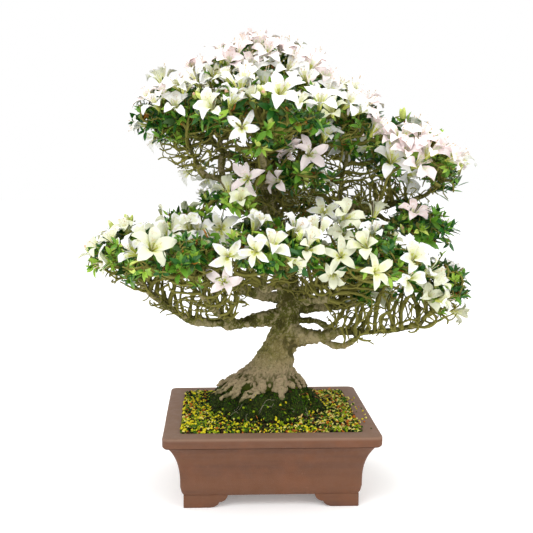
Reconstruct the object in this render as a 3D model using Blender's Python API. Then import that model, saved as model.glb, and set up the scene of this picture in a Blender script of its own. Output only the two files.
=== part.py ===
"""An azalea bonsai in flower, built together with its clay pot.

A rectangular brown clay pot stands on four bracket feet and holds a bed of soil.  The trunk rises
from a flat cut on the soil, in a mound of moss, with a wide root flare.  It leans to the right, forks
low down and runs up to the apex.  Its boughs carry pads of foliage in three tiers.  All lengths are in metres, +Z is
up, -Y is the front, and the origin is on the ground under the middle of the whole plant.
"""

import math

import bmesh
import bpy
from mathutils import Matrix, Vector, noise

# ---- Places and clearances -------------------------------------------------------------------
POT_CENTRE = Vector((-0.013, -0.004, 0.0))   # the pot stands a little left of the crown's middle
GAP = 0.0003                               # clearance between neighbouring pieces
CUT_GROWTH = 0.0006                        # how much a cutter is fatter than the piece it copies

# ---- Pot -------------------------------------------------------------------------------------
RIM_LENGTH = 0.320
RIM_WIDTH = 0.260
POT_HEIGHT = 0.1175
FOOT_HEIGHT = 0.0192
RIM_LEDGE = 0.0255             # flat top of the rim, from its outer face to the opening
RIM_CORNER = 0.010             # radius of the rim's corners, seen from above
CORNER_STEPS = 2
LIP_HEIGHT = 0.0158            # upright band under the rim
LIP_ROUND = 0.0025
LIP_UNDERCUT = 0.0080          # how far the crease under the lip is set in
WAIST_INSET = 0.0245           # the wall's set-in where its hollow curve ends
WAIST_HEIGHT = 0.0335
COVE_POWER = 2.8               # how quickly the wall's hollow curve turns upright
COVE_STEPS = 5
BASE_INSET = 0.0268            # the wall's set-in just above the feet
BASE_HEIGHT = 0.0250
FOOT_INSET = 0.0290            # the feet's outer faces, set in from the rim
FLOOR_THICKNESS = 0.010
CAVITY_INSET = 0.0350          # the opening's floor, set in from the rim's outer face
CAVITY_CORNER = 0.006
DRAIN_RADIUS = 0.009
DRAIN_SPACING = 0.110
DRAIN_SIDES = 12

FOOT_BOTTOM = 0.037            # flat length on the ground, along each side of a corner
FOOT_STEP = 0.053              # where the foot's first curve ends
FOOT_REACH = 0.066             # where the foot meets the pot's underside
FOOT_STEP_HEIGHT = 0.0085
FOOT_THICKNESS = 0.014
FOOT_ARC_STEPS = 3

# ---- Soil ------------------------------------------------------------------------------------
SOIL_EDGE_DROP = 0.0020        # how far the soil lies under the rim where it meets the wall
SOIL_TOP = 0.1200              # the level patch under the trunk's roots and the moss
MOUND_HALF_LENGTH = 0.118
MOUND_HALF_WIDTH = 0.092
MOUND_CORNER = 0.060
SOIL_RINGS = 2

# ---- Moss ------------------------------------------------------------------------------------
MOSS_CENTRE = (-0.006, 0.016)  # from the pot's centre
MOSS_TOP = 0.1500              # where the mound runs out against the trunk
MOSS_FOOT = (0.112, 0.092)     # half length and half width on the soil
MOSS_CREST = (0.058, 0.044)    # half length and half width at its top, inside the trunk
MOSS_RINGS = 3
MOSS_HOLLOW = 1.35             # above 1, the mound's slope is hollow

# ---- Trunk -----------------------------------------------------------------------------------
# Centre line from the soil to the apex, measured from the pot's centre.
TRUNK_PATH = [
    (-0.012, 0.018, SOIL_TOP + GAP), (0.008, 0.018, 0.185), (0.028, 0.020, 0.240), (0.035, 0.020, 0.290),
    (0.027, 0.020, 0.355), (0.010, 0.020, 0.420), (-0.001, 0.018, 0.470), (-0.008, 0.012, 0.540),
    (-0.015, 0.002, 0.600),
]
TRUNK_RADIUS = 0.0265
TRUNK_TIP_RADIUS = 0.0055
FLARE_TOP = 0.235              # height where the flare has died out
FLARE_FOOT = 0.150             # height below which it spreads no further
FLARE_SPREAD = 0.070           # extra radius, if it went on to the soil
FLARE_LENGTH = 0.018           # how much more it spreads to both sides than to front and back
FLARE_LEAN = 0.0175            # how much more it spreads to the left than to the right
FLARE_POWER = 2.1
ROOT_COUNT = 7
ROOT_RELIEF = 0.10
ROOT_TURN = 0.35

# ---- Boughs ----------------------------------------------------------------------------------
# name: (radius at its start, radius at its end, centre line); each one is cut to meet the trunk and
# the boughs before it
BOUGHS = {
    "bough_low_left": (0.0122, 0.0080, [
        (0.026, 0.020, 0.266), (-0.010, 0.000, 0.266), (-0.044, -0.018, 0.266), (-0.078, -0.030, 0.270),
        (-0.110, -0.038, 0.281)]),
    "bough_low_left_tip": (0.0079, 0.0037, [
        (-0.110, -0.038, 0.281), (-0.141, -0.045, 0.295), (-0.171, -0.050, 0.316), (-0.200, -0.050, 0.346)]),
    "bough_low_left_front": (0.0070, 0.0040, [
        (-0.055, -0.022, 0.267), (-0.078, -0.062, 0.284), (-0.097, -0.098, 0.314), (-0.108, -0.125, 0.352)]),
    "bough_low_left_back": (0.0115, 0.0060, [
        (0.031, 0.020, 0.292), (-0.020, 0.060, 0.298), (-0.068, 0.092, 0.316), (-0.115, 0.112, 0.352)]),
    "bough_low_right": (0.0124, 0.0066, [
        (0.032, 0.020, 0.243), (0.059, 0.000, 0.240), (0.083, -0.018, 0.243), (0.103, -0.030, 0.251),
        (0.125, -0.040, 0.254), (0.146, -0.048, 0.253)]),
    "bough_low_right_tip": (0.0063, 0.0030, [
        (0.146, -0.048, 0.253), (0.186, -0.055, 0.258), (0.222, -0.055, 0.268), (0.246, -0.048, 0.290)]),
    "bough_low_right_loop": (0.0060, 0.0045, [
        (0.078, -0.014, 0.241), (0.097, -0.036, 0.232), (0.119, -0.048, 0.237), (0.138, -0.046, 0.251)]),
    "bough_low_right_crook": (0.0070, 0.0045, [
        (0.036, 0.020, 0.264), (0.060, 0.006, 0.263), (0.082, -0.010, 0.260), (0.101, -0.029, 0.252)]),
    "bough_mid_right_low": (0.0112, 0.0055, [
        (0.034, 0.020, 0.284), (0.073, 0.028, 0.279), (0.112, 0.028, 0.281), (0.150, 0.022, 0.290),
        (0.178, 0.015, 0.308)]),
    "bough_low_right_back": (0.0110, 0.0060, [
        (0.035, 0.020, 0.302), (0.070, 0.066, 0.302), (0.110, 0.100, 0.312), (0.148, 0.118, 0.338)]),
    "bough_low_back": (0.0105, 0.0060, [
        (0.034, 0.020, 0.312), (0.030, 0.072, 0.314), (0.020, 0.115, 0.328), (0.008, 0.150, 0.356)]),
    "bough_low_front_right": (0.0085, 0.0045, [
        (0.034, 0.015, 0.300), (0.066, -0.025, 0.300), (0.092, -0.065, 0.316), (0.108, -0.095, 0.350)]),
    "bough_low_front_left": (0.0085, 0.0045, [
        (0.031, 0.015, 0.322), (0.000, -0.028, 0.320), (-0.012, -0.066, 0.332), (-0.010, -0.098, 0.362)]),
    "bough_mid_back": (0.0100, 0.0055, [
        (0.025, 0.020, 0.362), (0.014, 0.060, 0.374), (0.002, 0.096, 0.398), (-0.004, 0.120, 0.435)]),
    "bough_upper_left": (0.0108, 0.0040, [
        (0.010, 0.020, 0.420), (-0.028, 0.010, 0.440), (-0.053, 0.000, 0.466), (-0.074, -0.010, 0.485),
        (-0.097, -0.018, 0.493), (-0.112, -0.020, 0.510), (-0.124, -0.020, 0.545)]),
    "bough_upper_left_rise": (0.0061, 0.0042, [
        (-0.068, -0.007, 0.481), (-0.071, 0.000, 0.506), (-0.074, 0.000, 0.536), (-0.080, 0.000, 0.568)]),
    "bough_upper_right": (0.0112, 0.0078, [
        (0.023, 0.020, 0.370), (0.059, 0.022, 0.394), (0.091, 0.022, 0.416), (0.130, 0.020, 0.435),
        (0.170, 0.020, 0.441)]),
    "bough_upper_right_tip": (0.0075, 0.0028, [
        (0.170, 0.020, 0.441), (0.208, 0.018, 0.447), (0.240, 0.012, 0.460), (0.262, 0.008, 0.492)]),
    "bough_upper_right_rise": (0.0062, 0.0042, [
        (0.104, 0.022, 0.423), (0.112, 0.015, 0.455), (0.116, 0.008, 0.490), (0.122, 0.000, 0.535)]),
    "bough_mid_right": (0.0062, 0.0040, [
        (0.142, 0.020, 0.437), (0.166, -0.002, 0.428), (0.190, -0.012, 0.420), (0.222, -0.014, 0.420)]),
    "bough_top_back": (0.0085, 0.0050, [
        (0.003, 0.018, 0.452), (0.010, 0.055, 0.474), (0.016, 0.086, 0.505), (0.018, 0.110, 0.550)]),
    "bough_top_front": (0.0080, 0.0048, [
        (-0.001, 0.018, 0.470), (-0.008, -0.018, 0.486), (-0.014, -0.052, 0.510), (-0.018, -0.085, 0.548)]),
    "bough_top_left": (0.0075, 0.0045, [
        (-0.004, 0.016, 0.500), (-0.040, 0.048, 0.514), (-0.075, 0.072, 0.530), (-0.105, 0.088, 0.560)]),
    "bough_top_right": (0.0080, 0.0045, [
        (-0.002, 0.018, 0.488), (0.034, 0.048, 0.492), (0.070, 0.076, 0.502), (0.105, 0.098, 0.530)]),
}
PATH_STEPS = 2                 # rings between two points of a bough's centre line
THICK_LIMB = 0.0080            # limbs fatter than this get more sides

# ---- Foliage ---------------------------------------------------------------------------------
# name: (centre from the pot's centre, half sizes, lean to the side in degrees)
MASSES = {
    "foliage_top": ((-0.006, 0.000, 0.622), (0.110, 0.094, 0.071), 3),
    "foliage_top_front": ((-0.014, -0.118, 0.572), (0.096, 0.062, 0.054), 0),
    "foliage_top_back": ((0.010, 0.118, 0.585), (0.104, 0.066, 0.060), 0),
    "foliage_upper_left": ((-0.140, -0.012, 0.587), (0.068, 0.080, 0.058), -8),
    "foliage_upper_left_back": ((-0.120, 0.108, 0.580), (0.062, 0.060, 0.050), -8),
    "foliage_upper_right_inner": ((0.112, -0.012, 0.572), (0.066, 0.088, 0.058), 14),
    "foliage_upper_right_outer": ((0.222, -0.010, 0.520), (0.084, 0.086, 0.052), 16),
    "foliage_upper_right_back": ((0.150, 0.118, 0.540), (0.094, 0.062, 0.050), 14),
    "foliage_mid_left": ((-0.048, -0.066, 0.462), (0.044, 0.042, 0.034), 0),
    "foliage_mid_front": ((0.050, -0.060, 0.486), (0.050, 0.050, 0.044), 0),
    "foliage_mid_right": ((0.234, -0.022, 0.414), (0.058, 0.066, 0.036), 6),
    "foliage_mid_right_inner": ((0.128, -0.066, 0.414), (0.056, 0.050, 0.034), 0),
    "foliage_mid_back": ((-0.004, 0.140, 0.455), (0.118, 0.064, 0.042), 0),
    "foliage_low_left_outer": ((-0.214, -0.030, 0.372), (0.066, 0.080, 0.048), -10),
    "foliage_low_left_inner": ((-0.110, -0.026, 0.398), (0.060, 0.082, 0.046), -8),
    "foliage_low_left_front": ((-0.130, -0.146, 0.376), (0.086, 0.050, 0.036), -8),
    "foliage_low_left_back": ((-0.150, 0.116, 0.376), (0.104, 0.074, 0.044), -8),
    "foliage_low_front": ((0.002, -0.140, 0.386), (0.078, 0.064, 0.042), 0),
    "foliage_low_right_front": ((0.134, -0.124, 0.366), (0.078, 0.060, 0.044), 4),
    "foliage_low_right_outer": ((0.250, -0.034, 0.322), (0.061, 0.080, 0.050), 8),
    "foliage_low_right_mid": ((0.158, -0.008, 0.330), (0.048, 0.062, 0.034), 6),
    "foliage_low_right_back": ((0.170, 0.118, 0.350), (0.100, 0.074, 0.046), 8),
    "foliage_low_back": ((0.010, 0.170, 0.372), (0.084, 0.050, 0.040), 0),
}
MASS_SEGMENTS = 12
MASS_RINGS = 7
MASS_BELLY = 0.66              # a pad's underside is flatter than its dome
MASS_SWELL = 0.22              # unevenness of the outline
MASS_LOBE_SCALE = 1.7

# ---- Colours ---------------------------------------------------------------------------------
CLAY = (0.235, 0.102, 0.058)
SOIL_BROWN = (0.150, 0.105, 0.035)
MOSS_GREEN = (0.035, 0.075, 0.020)
BARK = (0.145, 0.110, 0.062)
LEAF_GREENS = [(0.045, 0.150, 0.030), (0.070, 0.190, 0.035), (0.300, 0.340, 0.180)]
CLAY_ROUGHNESS = 0.62
BARK_ROUGHNESS = 0.85
LEAF_ROUGHNESS = 0.45


def clear_scene():
    for item in list(bpy.data.objects):
        bpy.data.objects.remove(item, do_unlink=True)


def new_collection(name):
    collection = bpy.data.collections.new(name)
    bpy.context.scene.collection.children.link(collection)
    return collection


def principled(name, colour, roughness):
    """A plain surface of one colour."""
    material = bpy.data.materials.new(name)
    material.use_nodes = True
    shader = material.node_tree.nodes["Principled BSDF"]
    shader.inputs["Base Color"].default_value = (*colour, 1.0)
    shader.inputs["Roughness"].default_value = roughness
    shader.inputs["Metallic"].default_value = 0.0
    return material


def add_object(name, mesh, collection):
    """An object for a mesh whose points are measured from the pot's centre."""
    item = bpy.data.objects.new(name, mesh)
    item.location = POT_CENTRE
    collection.objects.link(item)
    return item


def finish_piece(item, colour, roughness):
    item.data.materials.append(principled(item.name + "_surface", colour, roughness))
    item.data.shade_smooth()
    item.data.set_sharp_from_angle(angle=math.radians(35))


def hide_cutter(item):
    item.hide_render = True
    item.display_type = "WIRE"


def reach(mesh):
    """Lowest and highest corner of a mesh."""
    corners = [vert.co for vert in mesh.vertices]
    low = Vector([min(corner[axis] for corner in corners) for axis in range(3)])
    high = Vector([max(corner[axis] for corner in corners) for axis in range(3)])
    return low, high


def meet(first, second):
    """Whether the boxes round two objects overlap."""
    (low_a, high_a), (low_b, high_b) = reach(first.data), reach(second.data)
    return all(low_a[axis] < high_b[axis] and low_b[axis] < high_a[axis] for axis in range(3))


def cut(item, cutter):
    """Takes a cutter away from a piece."""
    modifier = item.modifiers.new("cut_" + cutter.name, "BOOLEAN")
    modifier.operation = "DIFFERENCE"
    modifier.object = cutter
    modifier.solver = "EXACT"


def mesh_from(name, build):
    """A mesh that the function build has made in a bmesh."""
    shape = bmesh.new()
    build(shape)
    bmesh.ops.triangulate(shape, faces=shape.faces)
    mesh = bpy.data.meshes.new(name)
    shape.to_mesh(mesh)
    shape.free()
    return mesh


# ---- Shapes that repeat ------------------------------------------------------------------------
def rounded_ring(shape, half_length, half_width, corner, height):
    """A level ring of edges round a rectangle with rounded corners."""
    points = []
    for quarter in range(4):
        start = quarter * math.pi / 2
        side_x = 1 if quarter in (0, 3) else -1
        side_y = 1 if quarter in (0, 1) else -1
        centre = Vector((side_x * (half_length - corner), side_y * (half_width - corner), height))
        for step in range(CORNER_STEPS + 1):
            angle = start + step / CORNER_STEPS * math.pi / 2
            points.append(centre + corner * Vector((math.cos(angle), math.sin(angle), 0.0)))
    verts = [shape.verts.new(point) for point in points]
    return [shape.edges.new((verts[i - 1], verts[i])) for i in range(len(verts))]


def bridge_rings(shape, rings):
    """Closes a stack of rings into one solid, capped at both ends."""
    for lower, upper in zip(rings, rings[1:]):
        bmesh.ops.bridge_loops(shape, edges=lower + upper)
    for ring in (rings[0], rings[-1]):
        bmesh.ops.edgeloop_fill(shape, edges=ring)
    bmesh.ops.recalc_face_normals(shape, faces=shape.faces)


def smooth_path(points, steps):
    """Points on a smooth curve through the given ones, evenly spread in each span."""
    knots = [Vector(point) for point in points]
    ends = [2 * knots[0] - knots[1], *knots, 2 * knots[-1] - knots[-2]]
    path = []
    for before, start, end, after in zip(ends, ends[1:], ends[2:], ends[3:]):
        for step in range(steps):
            t = step / steps
            path.append(0.5 * (2 * start + (end - before) * t
                               + (2 * before - 5 * start + 4 * end - after) * t ** 2
                               + (3 * start - before - 3 * end + after) * t ** 3))
    return path + [knots[-1]]


def limb_mesh(name, points, start_radius, end_radius, sides_step, growth=0.0):
    """A tapering tube along a smooth centre line, fatter and longer by the growth."""
    path = smooth_path(points, PATH_STEPS)
    path[0] = path[0] + (path[0] - path[1]).normalized() * growth
    path[-1] = path[-1] + (path[-1] - path[-2]).normalized() * growth
    curve = bpy.data.curves.new(name, "CURVE")
    curve.dimensions = "3D"
    curve.bevel_depth = 1.0
    curve.bevel_resolution = sides_step
    curve.use_fill_caps = True
    spline = curve.splines.new("POLY")
    spline.points.add(len(path) - 1)
    for index, (point, place) in enumerate(zip(spline.points, path)):
        share = index / (len(path) - 1)
        point.co = (*place, 1.0)
        point.radius = start_radius + (end_radius - start_radius) * share + growth
    guide = bpy.data.objects.new(name, curve)
    bpy.context.scene.collection.objects.link(guide)
    evaluated = guide.evaluated_get(bpy.context.evaluated_depsgraph_get())
    mesh = bpy.data.meshes.new_from_object(evaluated)
    bpy.data.objects.remove(guide, do_unlink=True)
    bpy.data.curves.remove(curve)
    shape = bmesh.new()
    shape.from_mesh(mesh)
    bmesh.ops.remove_doubles(shape, verts=shape.verts, dist=0.00001)
    bmesh.ops.recalc_face_normals(shape, faces=shape.faces)
    bmesh.ops.triangulate(shape, faces=shape.faces)
    shape.to_mesh(mesh)
    shape.free()
    return mesh


# ---- Pot ---------------------------------------------------------------------------------------
def pot_profile():
    """The wall's set-in and height at each ring, from the underside up to the rim."""
    profile = [(FOOT_INSET, FOOT_HEIGHT + GAP), (BASE_INSET, BASE_HEIGHT)]
    crease_height = POT_HEIGHT - LIP_HEIGHT - LIP_UNDERCUT / 2
    for step in range(COVE_STEPS + 1):
        share = step / COVE_STEPS
        height = WAIST_HEIGHT + (crease_height - WAIST_HEIGHT) * share
        profile.append((WAIST_INSET - (WAIST_INSET - LIP_UNDERCUT) * share ** COVE_POWER, height))
    profile += [
        (LIP_ROUND / 2, POT_HEIGHT - LIP_HEIGHT), (0.0, POT_HEIGHT - LIP_HEIGHT + LIP_ROUND),
        (0.0, POT_HEIGHT - LIP_ROUND), (LIP_ROUND, POT_HEIGHT),
    ]
    return profile


def cavity_inset(height):
    """How far the inner wall is set in from the rim's outer face at a height."""
    share = (POT_HEIGHT - height) / (POT_HEIGHT - FOOT_HEIGHT - FLOOR_THICKNESS)
    return RIM_LEDGE + (CAVITY_INSET - RIM_LEDGE) * share


def cavity_ring(shape, height, clearance=0.0):
    """A ring just inside the inner wall, or on it with no clearance."""
    inset = cavity_inset(height) + clearance
    return rounded_ring(shape, RIM_LENGTH / 2 - inset, RIM_WIDTH / 2 - inset, CAVITY_CORNER, height)


def build_pot(collection, cutters):
    def rings(shape):
        stack = []
        for inset, height in pot_profile():
            corner = max(RIM_CORNER - inset / 6, LIP_ROUND)
            stack.append(rounded_ring(shape, RIM_LENGTH / 2 - inset, RIM_WIDTH / 2 - inset, corner, height))
        bridge_rings(shape, stack)

    def hollow(shape):
        bridge_rings(shape, [cavity_ring(shape, FOOT_HEIGHT + FLOOR_THICKNESS),
                             cavity_ring(shape, POT_HEIGHT + LIP_HEIGHT)])

    pot = add_object("pot", mesh_from("pot", rings), collection)
    finish_piece(pot, CLAY, CLAY_ROUGHNESS)
    cavity = add_object("cavity", mesh_from("cavity", hollow), cutters)
    hide_cutter(cavity)
    cut(pot, cavity)
    for side in (-1, 1):
        def drain(shape, side=side):
            place = Matrix.Translation((side * DRAIN_SPACING / 2, 0.0, FOOT_HEIGHT + FLOOR_THICKNESS / 2))
            bmesh.ops.create_cone(shape, cap_ends=True, segments=DRAIN_SIDES, radius1=DRAIN_RADIUS,
                                  radius2=DRAIN_RADIUS, depth=FLOOR_THICKNESS * 2, matrix=place)
        cutter = add_object(f"drain_{side}", mesh_from("drain", drain), cutters)
        hide_cutter(cutter)
        cut(pot, cutter)


def foot_outline():
    """One arm of a bracket foot from the side: flat below, then two hollow steps up to the pot."""
    def hollow(start, end):
        return [(start[0] + (end[0] - start[0]) * math.sin(share * math.pi / 2),
                 start[1] + (end[1] - start[1]) * (1 - math.cos(share * math.pi / 2)))
                for share in [step / FOOT_ARC_STEPS for step in range(1, FOOT_ARC_STEPS + 1)]]

    toe = (FOOT_BOTTOM, 0.0)
    step_end = (FOOT_STEP, FOOT_STEP_HEIGHT)
    heel = (FOOT_REACH, FOOT_HEIGHT)
    return [(0.0, 0.0), toe, *hollow(toe, step_end), *hollow(step_end, heel), (0.0, FOOT_HEIGHT)]


def build_feet(collection, cutters):
    corner_x = RIM_LENGTH / 2 - FOOT_INSET
    corner_y = RIM_WIDTH / 2 - FOOT_INSET

    def arm(turn):
        def plate(shape):
            verts = [shape.verts.new((along, 0.0, height)) for along, height in foot_outline()]
            face = shape.faces.new(verts)
            push = bmesh.ops.extrude_face_region(shape, geom=[face])
            moved = [item for item in push["geom"] if isinstance(item, bmesh.types.BMVert)]
            bmesh.ops.translate(shape, verts=moved, vec=(0.0, FOOT_THICKNESS, 0.0))
            if turn:
                for vert in shape.verts:
                    vert.co.x, vert.co.y = vert.co.y, vert.co.x
            bmesh.ops.recalc_face_normals(shape, faces=shape.faces)
        return plate

    for index, (side_x, side_y) in enumerate([(-1, -1), (1, -1), (1, 1), (-1, 1)], start=1):
        pieces = []
        for turn in (False, True):
            mesh = mesh_from("foot_arm", arm(turn))
            mesh.transform(Matrix.Diagonal((-side_x, -side_y, 1.0, 1.0)))
            mesh.transform(Matrix.Translation((side_x * corner_x, side_y * corner_y, 0.0)))
            if side_x * side_y < 0:
                mesh.flip_normals()
            pieces.append(mesh)
        foot = add_object(f"pot_foot_{index}", pieces[0], collection)
        wing = add_object(f"foot_wing_{index}", pieces[1], cutters)
        hide_cutter(wing)
        join = foot.modifiers.new("wing", "BOOLEAN")
        join.operation = "UNION"
        join.object = wing
        join.solver = "EXACT"
        finish_piece(foot, CLAY, CLAY_ROUGHNESS)


def build_soil(collection):
    """A block that fills the pot and rises to a level patch under the roots."""
    edge_height = POT_HEIGHT - SOIL_EDGE_DROP
    edge_inset = cavity_inset(edge_height) + GAP

    def rings(shape):
        stack = [cavity_ring(shape, FOOT_HEIGHT + FLOOR_THICKNESS + GAP, GAP),
                 cavity_ring(shape, edge_height, GAP)]
        for ring in range(1, SOIL_RINGS + 1):
            share = ring / SOIL_RINGS
            length = RIM_LENGTH / 2 - edge_inset
            width = RIM_WIDTH / 2 - edge_inset
            length += (MOUND_HALF_LENGTH - length) * share
            width += (MOUND_HALF_WIDTH - width) * share
            corner = CAVITY_CORNER + (MOUND_CORNER - CAVITY_CORNER) * share
            height = edge_height + (SOIL_TOP - edge_height) * (1 - math.cos(share * math.pi)) / 2
            stack.append(rounded_ring(shape, length, width, corner, height))
        bridge_rings(shape, stack)

    finish_piece(add_object("soil", mesh_from("soil", rings), collection), SOIL_BROWN, BARK_ROUGHNESS)


def build_moss(collection, trunk_room):
    """A low mound on the soil, round the trunk's foot."""
    def rings(shape):
        stack = []
        for ring in range(MOSS_RINGS + 1):
            share = ring / MOSS_RINGS
            length, width = [foot + (crest - foot) * share for foot, crest in zip(MOSS_FOOT, MOSS_CREST)]
            height = SOIL_TOP + GAP + (MOSS_TOP - SOIL_TOP - GAP) * share ** MOSS_HOLLOW
            stack.append(rounded_ring(shape, length, width, width - GAP, height))
        bridge_rings(shape, stack)
        bmesh.ops.translate(shape, verts=shape.verts, vec=(*MOSS_CENTRE, 0.0))

    moss = add_object("moss", mesh_from("moss", rings), collection)
    finish_piece(moss, MOSS_GREEN, BARK_ROUGHNESS)
    cut(moss, trunk_room)


# ---- Trunk and boughs ----------------------------------------------------------------------------
def flare(point, centre):
    """Moves a point of the trunk's skin out into the root flare."""
    rise = (max(point.z, FLARE_FOOT) - TRUNK_PATH[0][2]) / (FLARE_TOP - TRUNK_PATH[0][2])
    fade = max(0.0, 1.0 - rise) ** FLARE_POWER
    outward = Vector((point.x - centre.x, point.y - centre.y, 0.0))
    angle = math.atan2(outward.y, outward.x)
    ridge = 1.0 + ROOT_RELIEF * math.cos(ROOT_COUNT * angle + ROOT_TURN)
    reach = FLARE_SPREAD + FLARE_LENGTH * math.cos(2 * angle) - FLARE_LEAN * math.cos(angle)
    return point + reach * fade * ridge * outward.normalized()


def trunk_mesh(growth=0.0):
    path = smooth_path(TRUNK_PATH, PATH_STEPS)
    mesh = limb_mesh("trunk", TRUNK_PATH, TRUNK_RADIUS, TRUNK_TIP_RADIUS, 6, growth)
    base = TRUNK_PATH[0][2]
    for vert in mesh.vertices:
        nearest = min(path, key=lambda point: (point - vert.co).length)
        ring = path.index(nearest)
        if ring == 0:
            vert.co.z = base
        vert.co = flare(vert.co, nearest)
    return mesh


def limb_sides(radius):
    return 2 if radius > THICK_LIMB else 1


def build_wood(collection, cutters):
    """The trunk and boughs, with a fatter copy of each that clears its neighbours."""
    trunk = add_object("trunk", trunk_mesh(), collection)
    finish_piece(trunk, BARK, BARK_ROUGHNESS)
    rooms = [add_object("trunk_room", trunk_mesh(CUT_GROWTH), cutters)]
    limbs = []
    for name, (start_radius, end_radius, points) in BOUGHS.items():
        sides = limb_sides(start_radius)
        limb = add_object(name, limb_mesh(name, points, start_radius, end_radius, sides), collection)
        for room in rooms:
            if meet(limb, room):
                cut(limb, room)
        room = limb_mesh(name + "_room", points, start_radius, end_radius, sides, CUT_GROWTH)
        rooms.append(add_object(name + "_room", room, cutters))
        finish_piece(limb, BARK, BARK_ROUGHNESS)
        limbs.append(limb)
    for room in rooms:
        hide_cutter(room)
    return limbs, rooms[0]


# ---- Foliage -------------------------------------------------------------------------------------
def mass_mesh(name, growth=0.0):
    """An uneven pad: a ball, lobed and drawn out to its half sizes, flatter below."""
    centre, half_sizes, lean = MASSES[name]
    seed = Vector((1.0, 2.0, 3.0)) * (1 + list(MASSES).index(name))

    def pad(shape):
        bmesh.ops.create_uvsphere(shape, u_segments=MASS_SEGMENTS, v_segments=MASS_RINGS, radius=1.0)
        for vert in shape.verts:
            direction = vert.co.normalized()
            swell = 1.0 + MASS_SWELL * noise.noise(direction * MASS_LOBE_SCALE + seed)
            vert.co = direction * swell
            vert.co.z *= MASS_BELLY if direction.z < 0 else 1.0
            for axis in range(3):
                vert.co[axis] *= half_sizes[axis] + growth
        turn = Matrix.Rotation(math.radians(lean), 4, "Y")
        bmesh.ops.transform(shape, verts=shape.verts, matrix=Matrix.Translation(centre) @ turn)

    return mesh_from(name, pad)


def build_foliage(collection, cutters, limbs, trunk_room):
    """Pads that clear the trunk and the pads before them, and end each bough that enters them."""
    rooms = []
    for index, name in enumerate(MASSES):
        mass = add_object(name, mass_mesh(name), collection)
        finish_piece(mass, LEAF_GREENS[index % len(LEAF_GREENS)], LEAF_ROUGHNESS)
        room = add_object(name + "_room", mass_mesh(name, CUT_GROWTH), cutters)
        hide_cutter(room)
        for other in [trunk_room, *rooms]:
            if meet(mass, other):
                cut(mass, other)
        for limb in limbs:
            if meet(limb, room):
                cut(limb, room)
        rooms.append(room)


def main():
    clear_scene()
    collection = new_collection("azalea_bonsai")
    cutters = new_collection("cutters")
    build_pot(collection, cutters)
    build_feet(collection, cutters)
    build_soil(collection)
    limbs, trunk_room = build_wood(collection, cutters)
    build_moss(collection, trunk_room)
    build_foliage(collection, cutters, limbs, trunk_room)


main()
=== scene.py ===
"""The looks of a flowering azalea bonsai that stands in its brown clay pot.

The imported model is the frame.  Its pot, soil and moss say where the bark, clay and granules go, and
its closed pads of foliage say which room the twigs, leaves and blossom fill.  Lengths are in metres,
+Z is up and -Y is the front.
"""

import logging
import math
import random
from collections.abc import Callable, Iterable, Iterator, Sequence
from dataclasses import dataclass, field
from enum import Enum
from itertools import product

import bmesh
import bpy
import numpy as np
from bmesh.types import BMesh, BMVert
from bpy.types import Material, Mesh, Node, NodeSocket, NodeTree, Object
from mathutils import Euler, Matrix, Vector, noise
from mathutils.bvhtree import BVHTree
from mathutils.kdtree import KDTree


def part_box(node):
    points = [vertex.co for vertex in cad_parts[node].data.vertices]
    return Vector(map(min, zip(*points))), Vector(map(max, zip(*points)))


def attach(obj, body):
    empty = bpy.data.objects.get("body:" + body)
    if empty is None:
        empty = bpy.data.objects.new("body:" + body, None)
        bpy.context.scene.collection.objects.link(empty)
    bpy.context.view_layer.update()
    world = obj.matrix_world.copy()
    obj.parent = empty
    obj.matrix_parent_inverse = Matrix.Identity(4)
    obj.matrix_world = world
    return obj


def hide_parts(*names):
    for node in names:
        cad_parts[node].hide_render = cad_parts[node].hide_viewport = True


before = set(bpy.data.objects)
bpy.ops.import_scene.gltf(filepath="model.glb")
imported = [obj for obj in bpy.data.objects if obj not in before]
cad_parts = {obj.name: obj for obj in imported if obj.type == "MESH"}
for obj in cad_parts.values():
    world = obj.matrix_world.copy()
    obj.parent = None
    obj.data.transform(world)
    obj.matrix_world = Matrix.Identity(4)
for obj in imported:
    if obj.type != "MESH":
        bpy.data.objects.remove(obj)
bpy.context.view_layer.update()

LOG = logging.getLogger("azalea")
UP = Vector((0.0, 0.0, 1.0))
POT_LOW, POT_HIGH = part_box("pot")
POT_CENTRE = Vector(((POT_LOW.x + POT_HIGH.x) / 2, (POT_LOW.y + POT_HIGH.y) / 2, 0.0))
POT_HEIGHT = POT_HIGH.z
SOIL_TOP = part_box("soil")[1].z
PAD_NAMES = [name for name in sorted(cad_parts) if name.startswith("foliage_")]
MOST_TRIANGLES = 190_000       # in one piece
GOLDEN_ANGLE = math.radians(137.5)
NOISE_SEED = 1                 # unset, the directions that noise gives would change from run to run

Colour = tuple[int, int, int]
Point = tuple[float, float, float]


# ---- Finishes ------------------------------------------------------------------------------------
def linear(colour: Colour) -> tuple[float, ...]:
    """A screen colour, each part out of 255, as the renderer's own numbers."""
    parts = [part / 255 for part in colour]
    return (*[part / 12.92 if part <= 0.04045 else ((part + 0.055) / 1.055) ** 2.4 for part in parts], 1.0)


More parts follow.
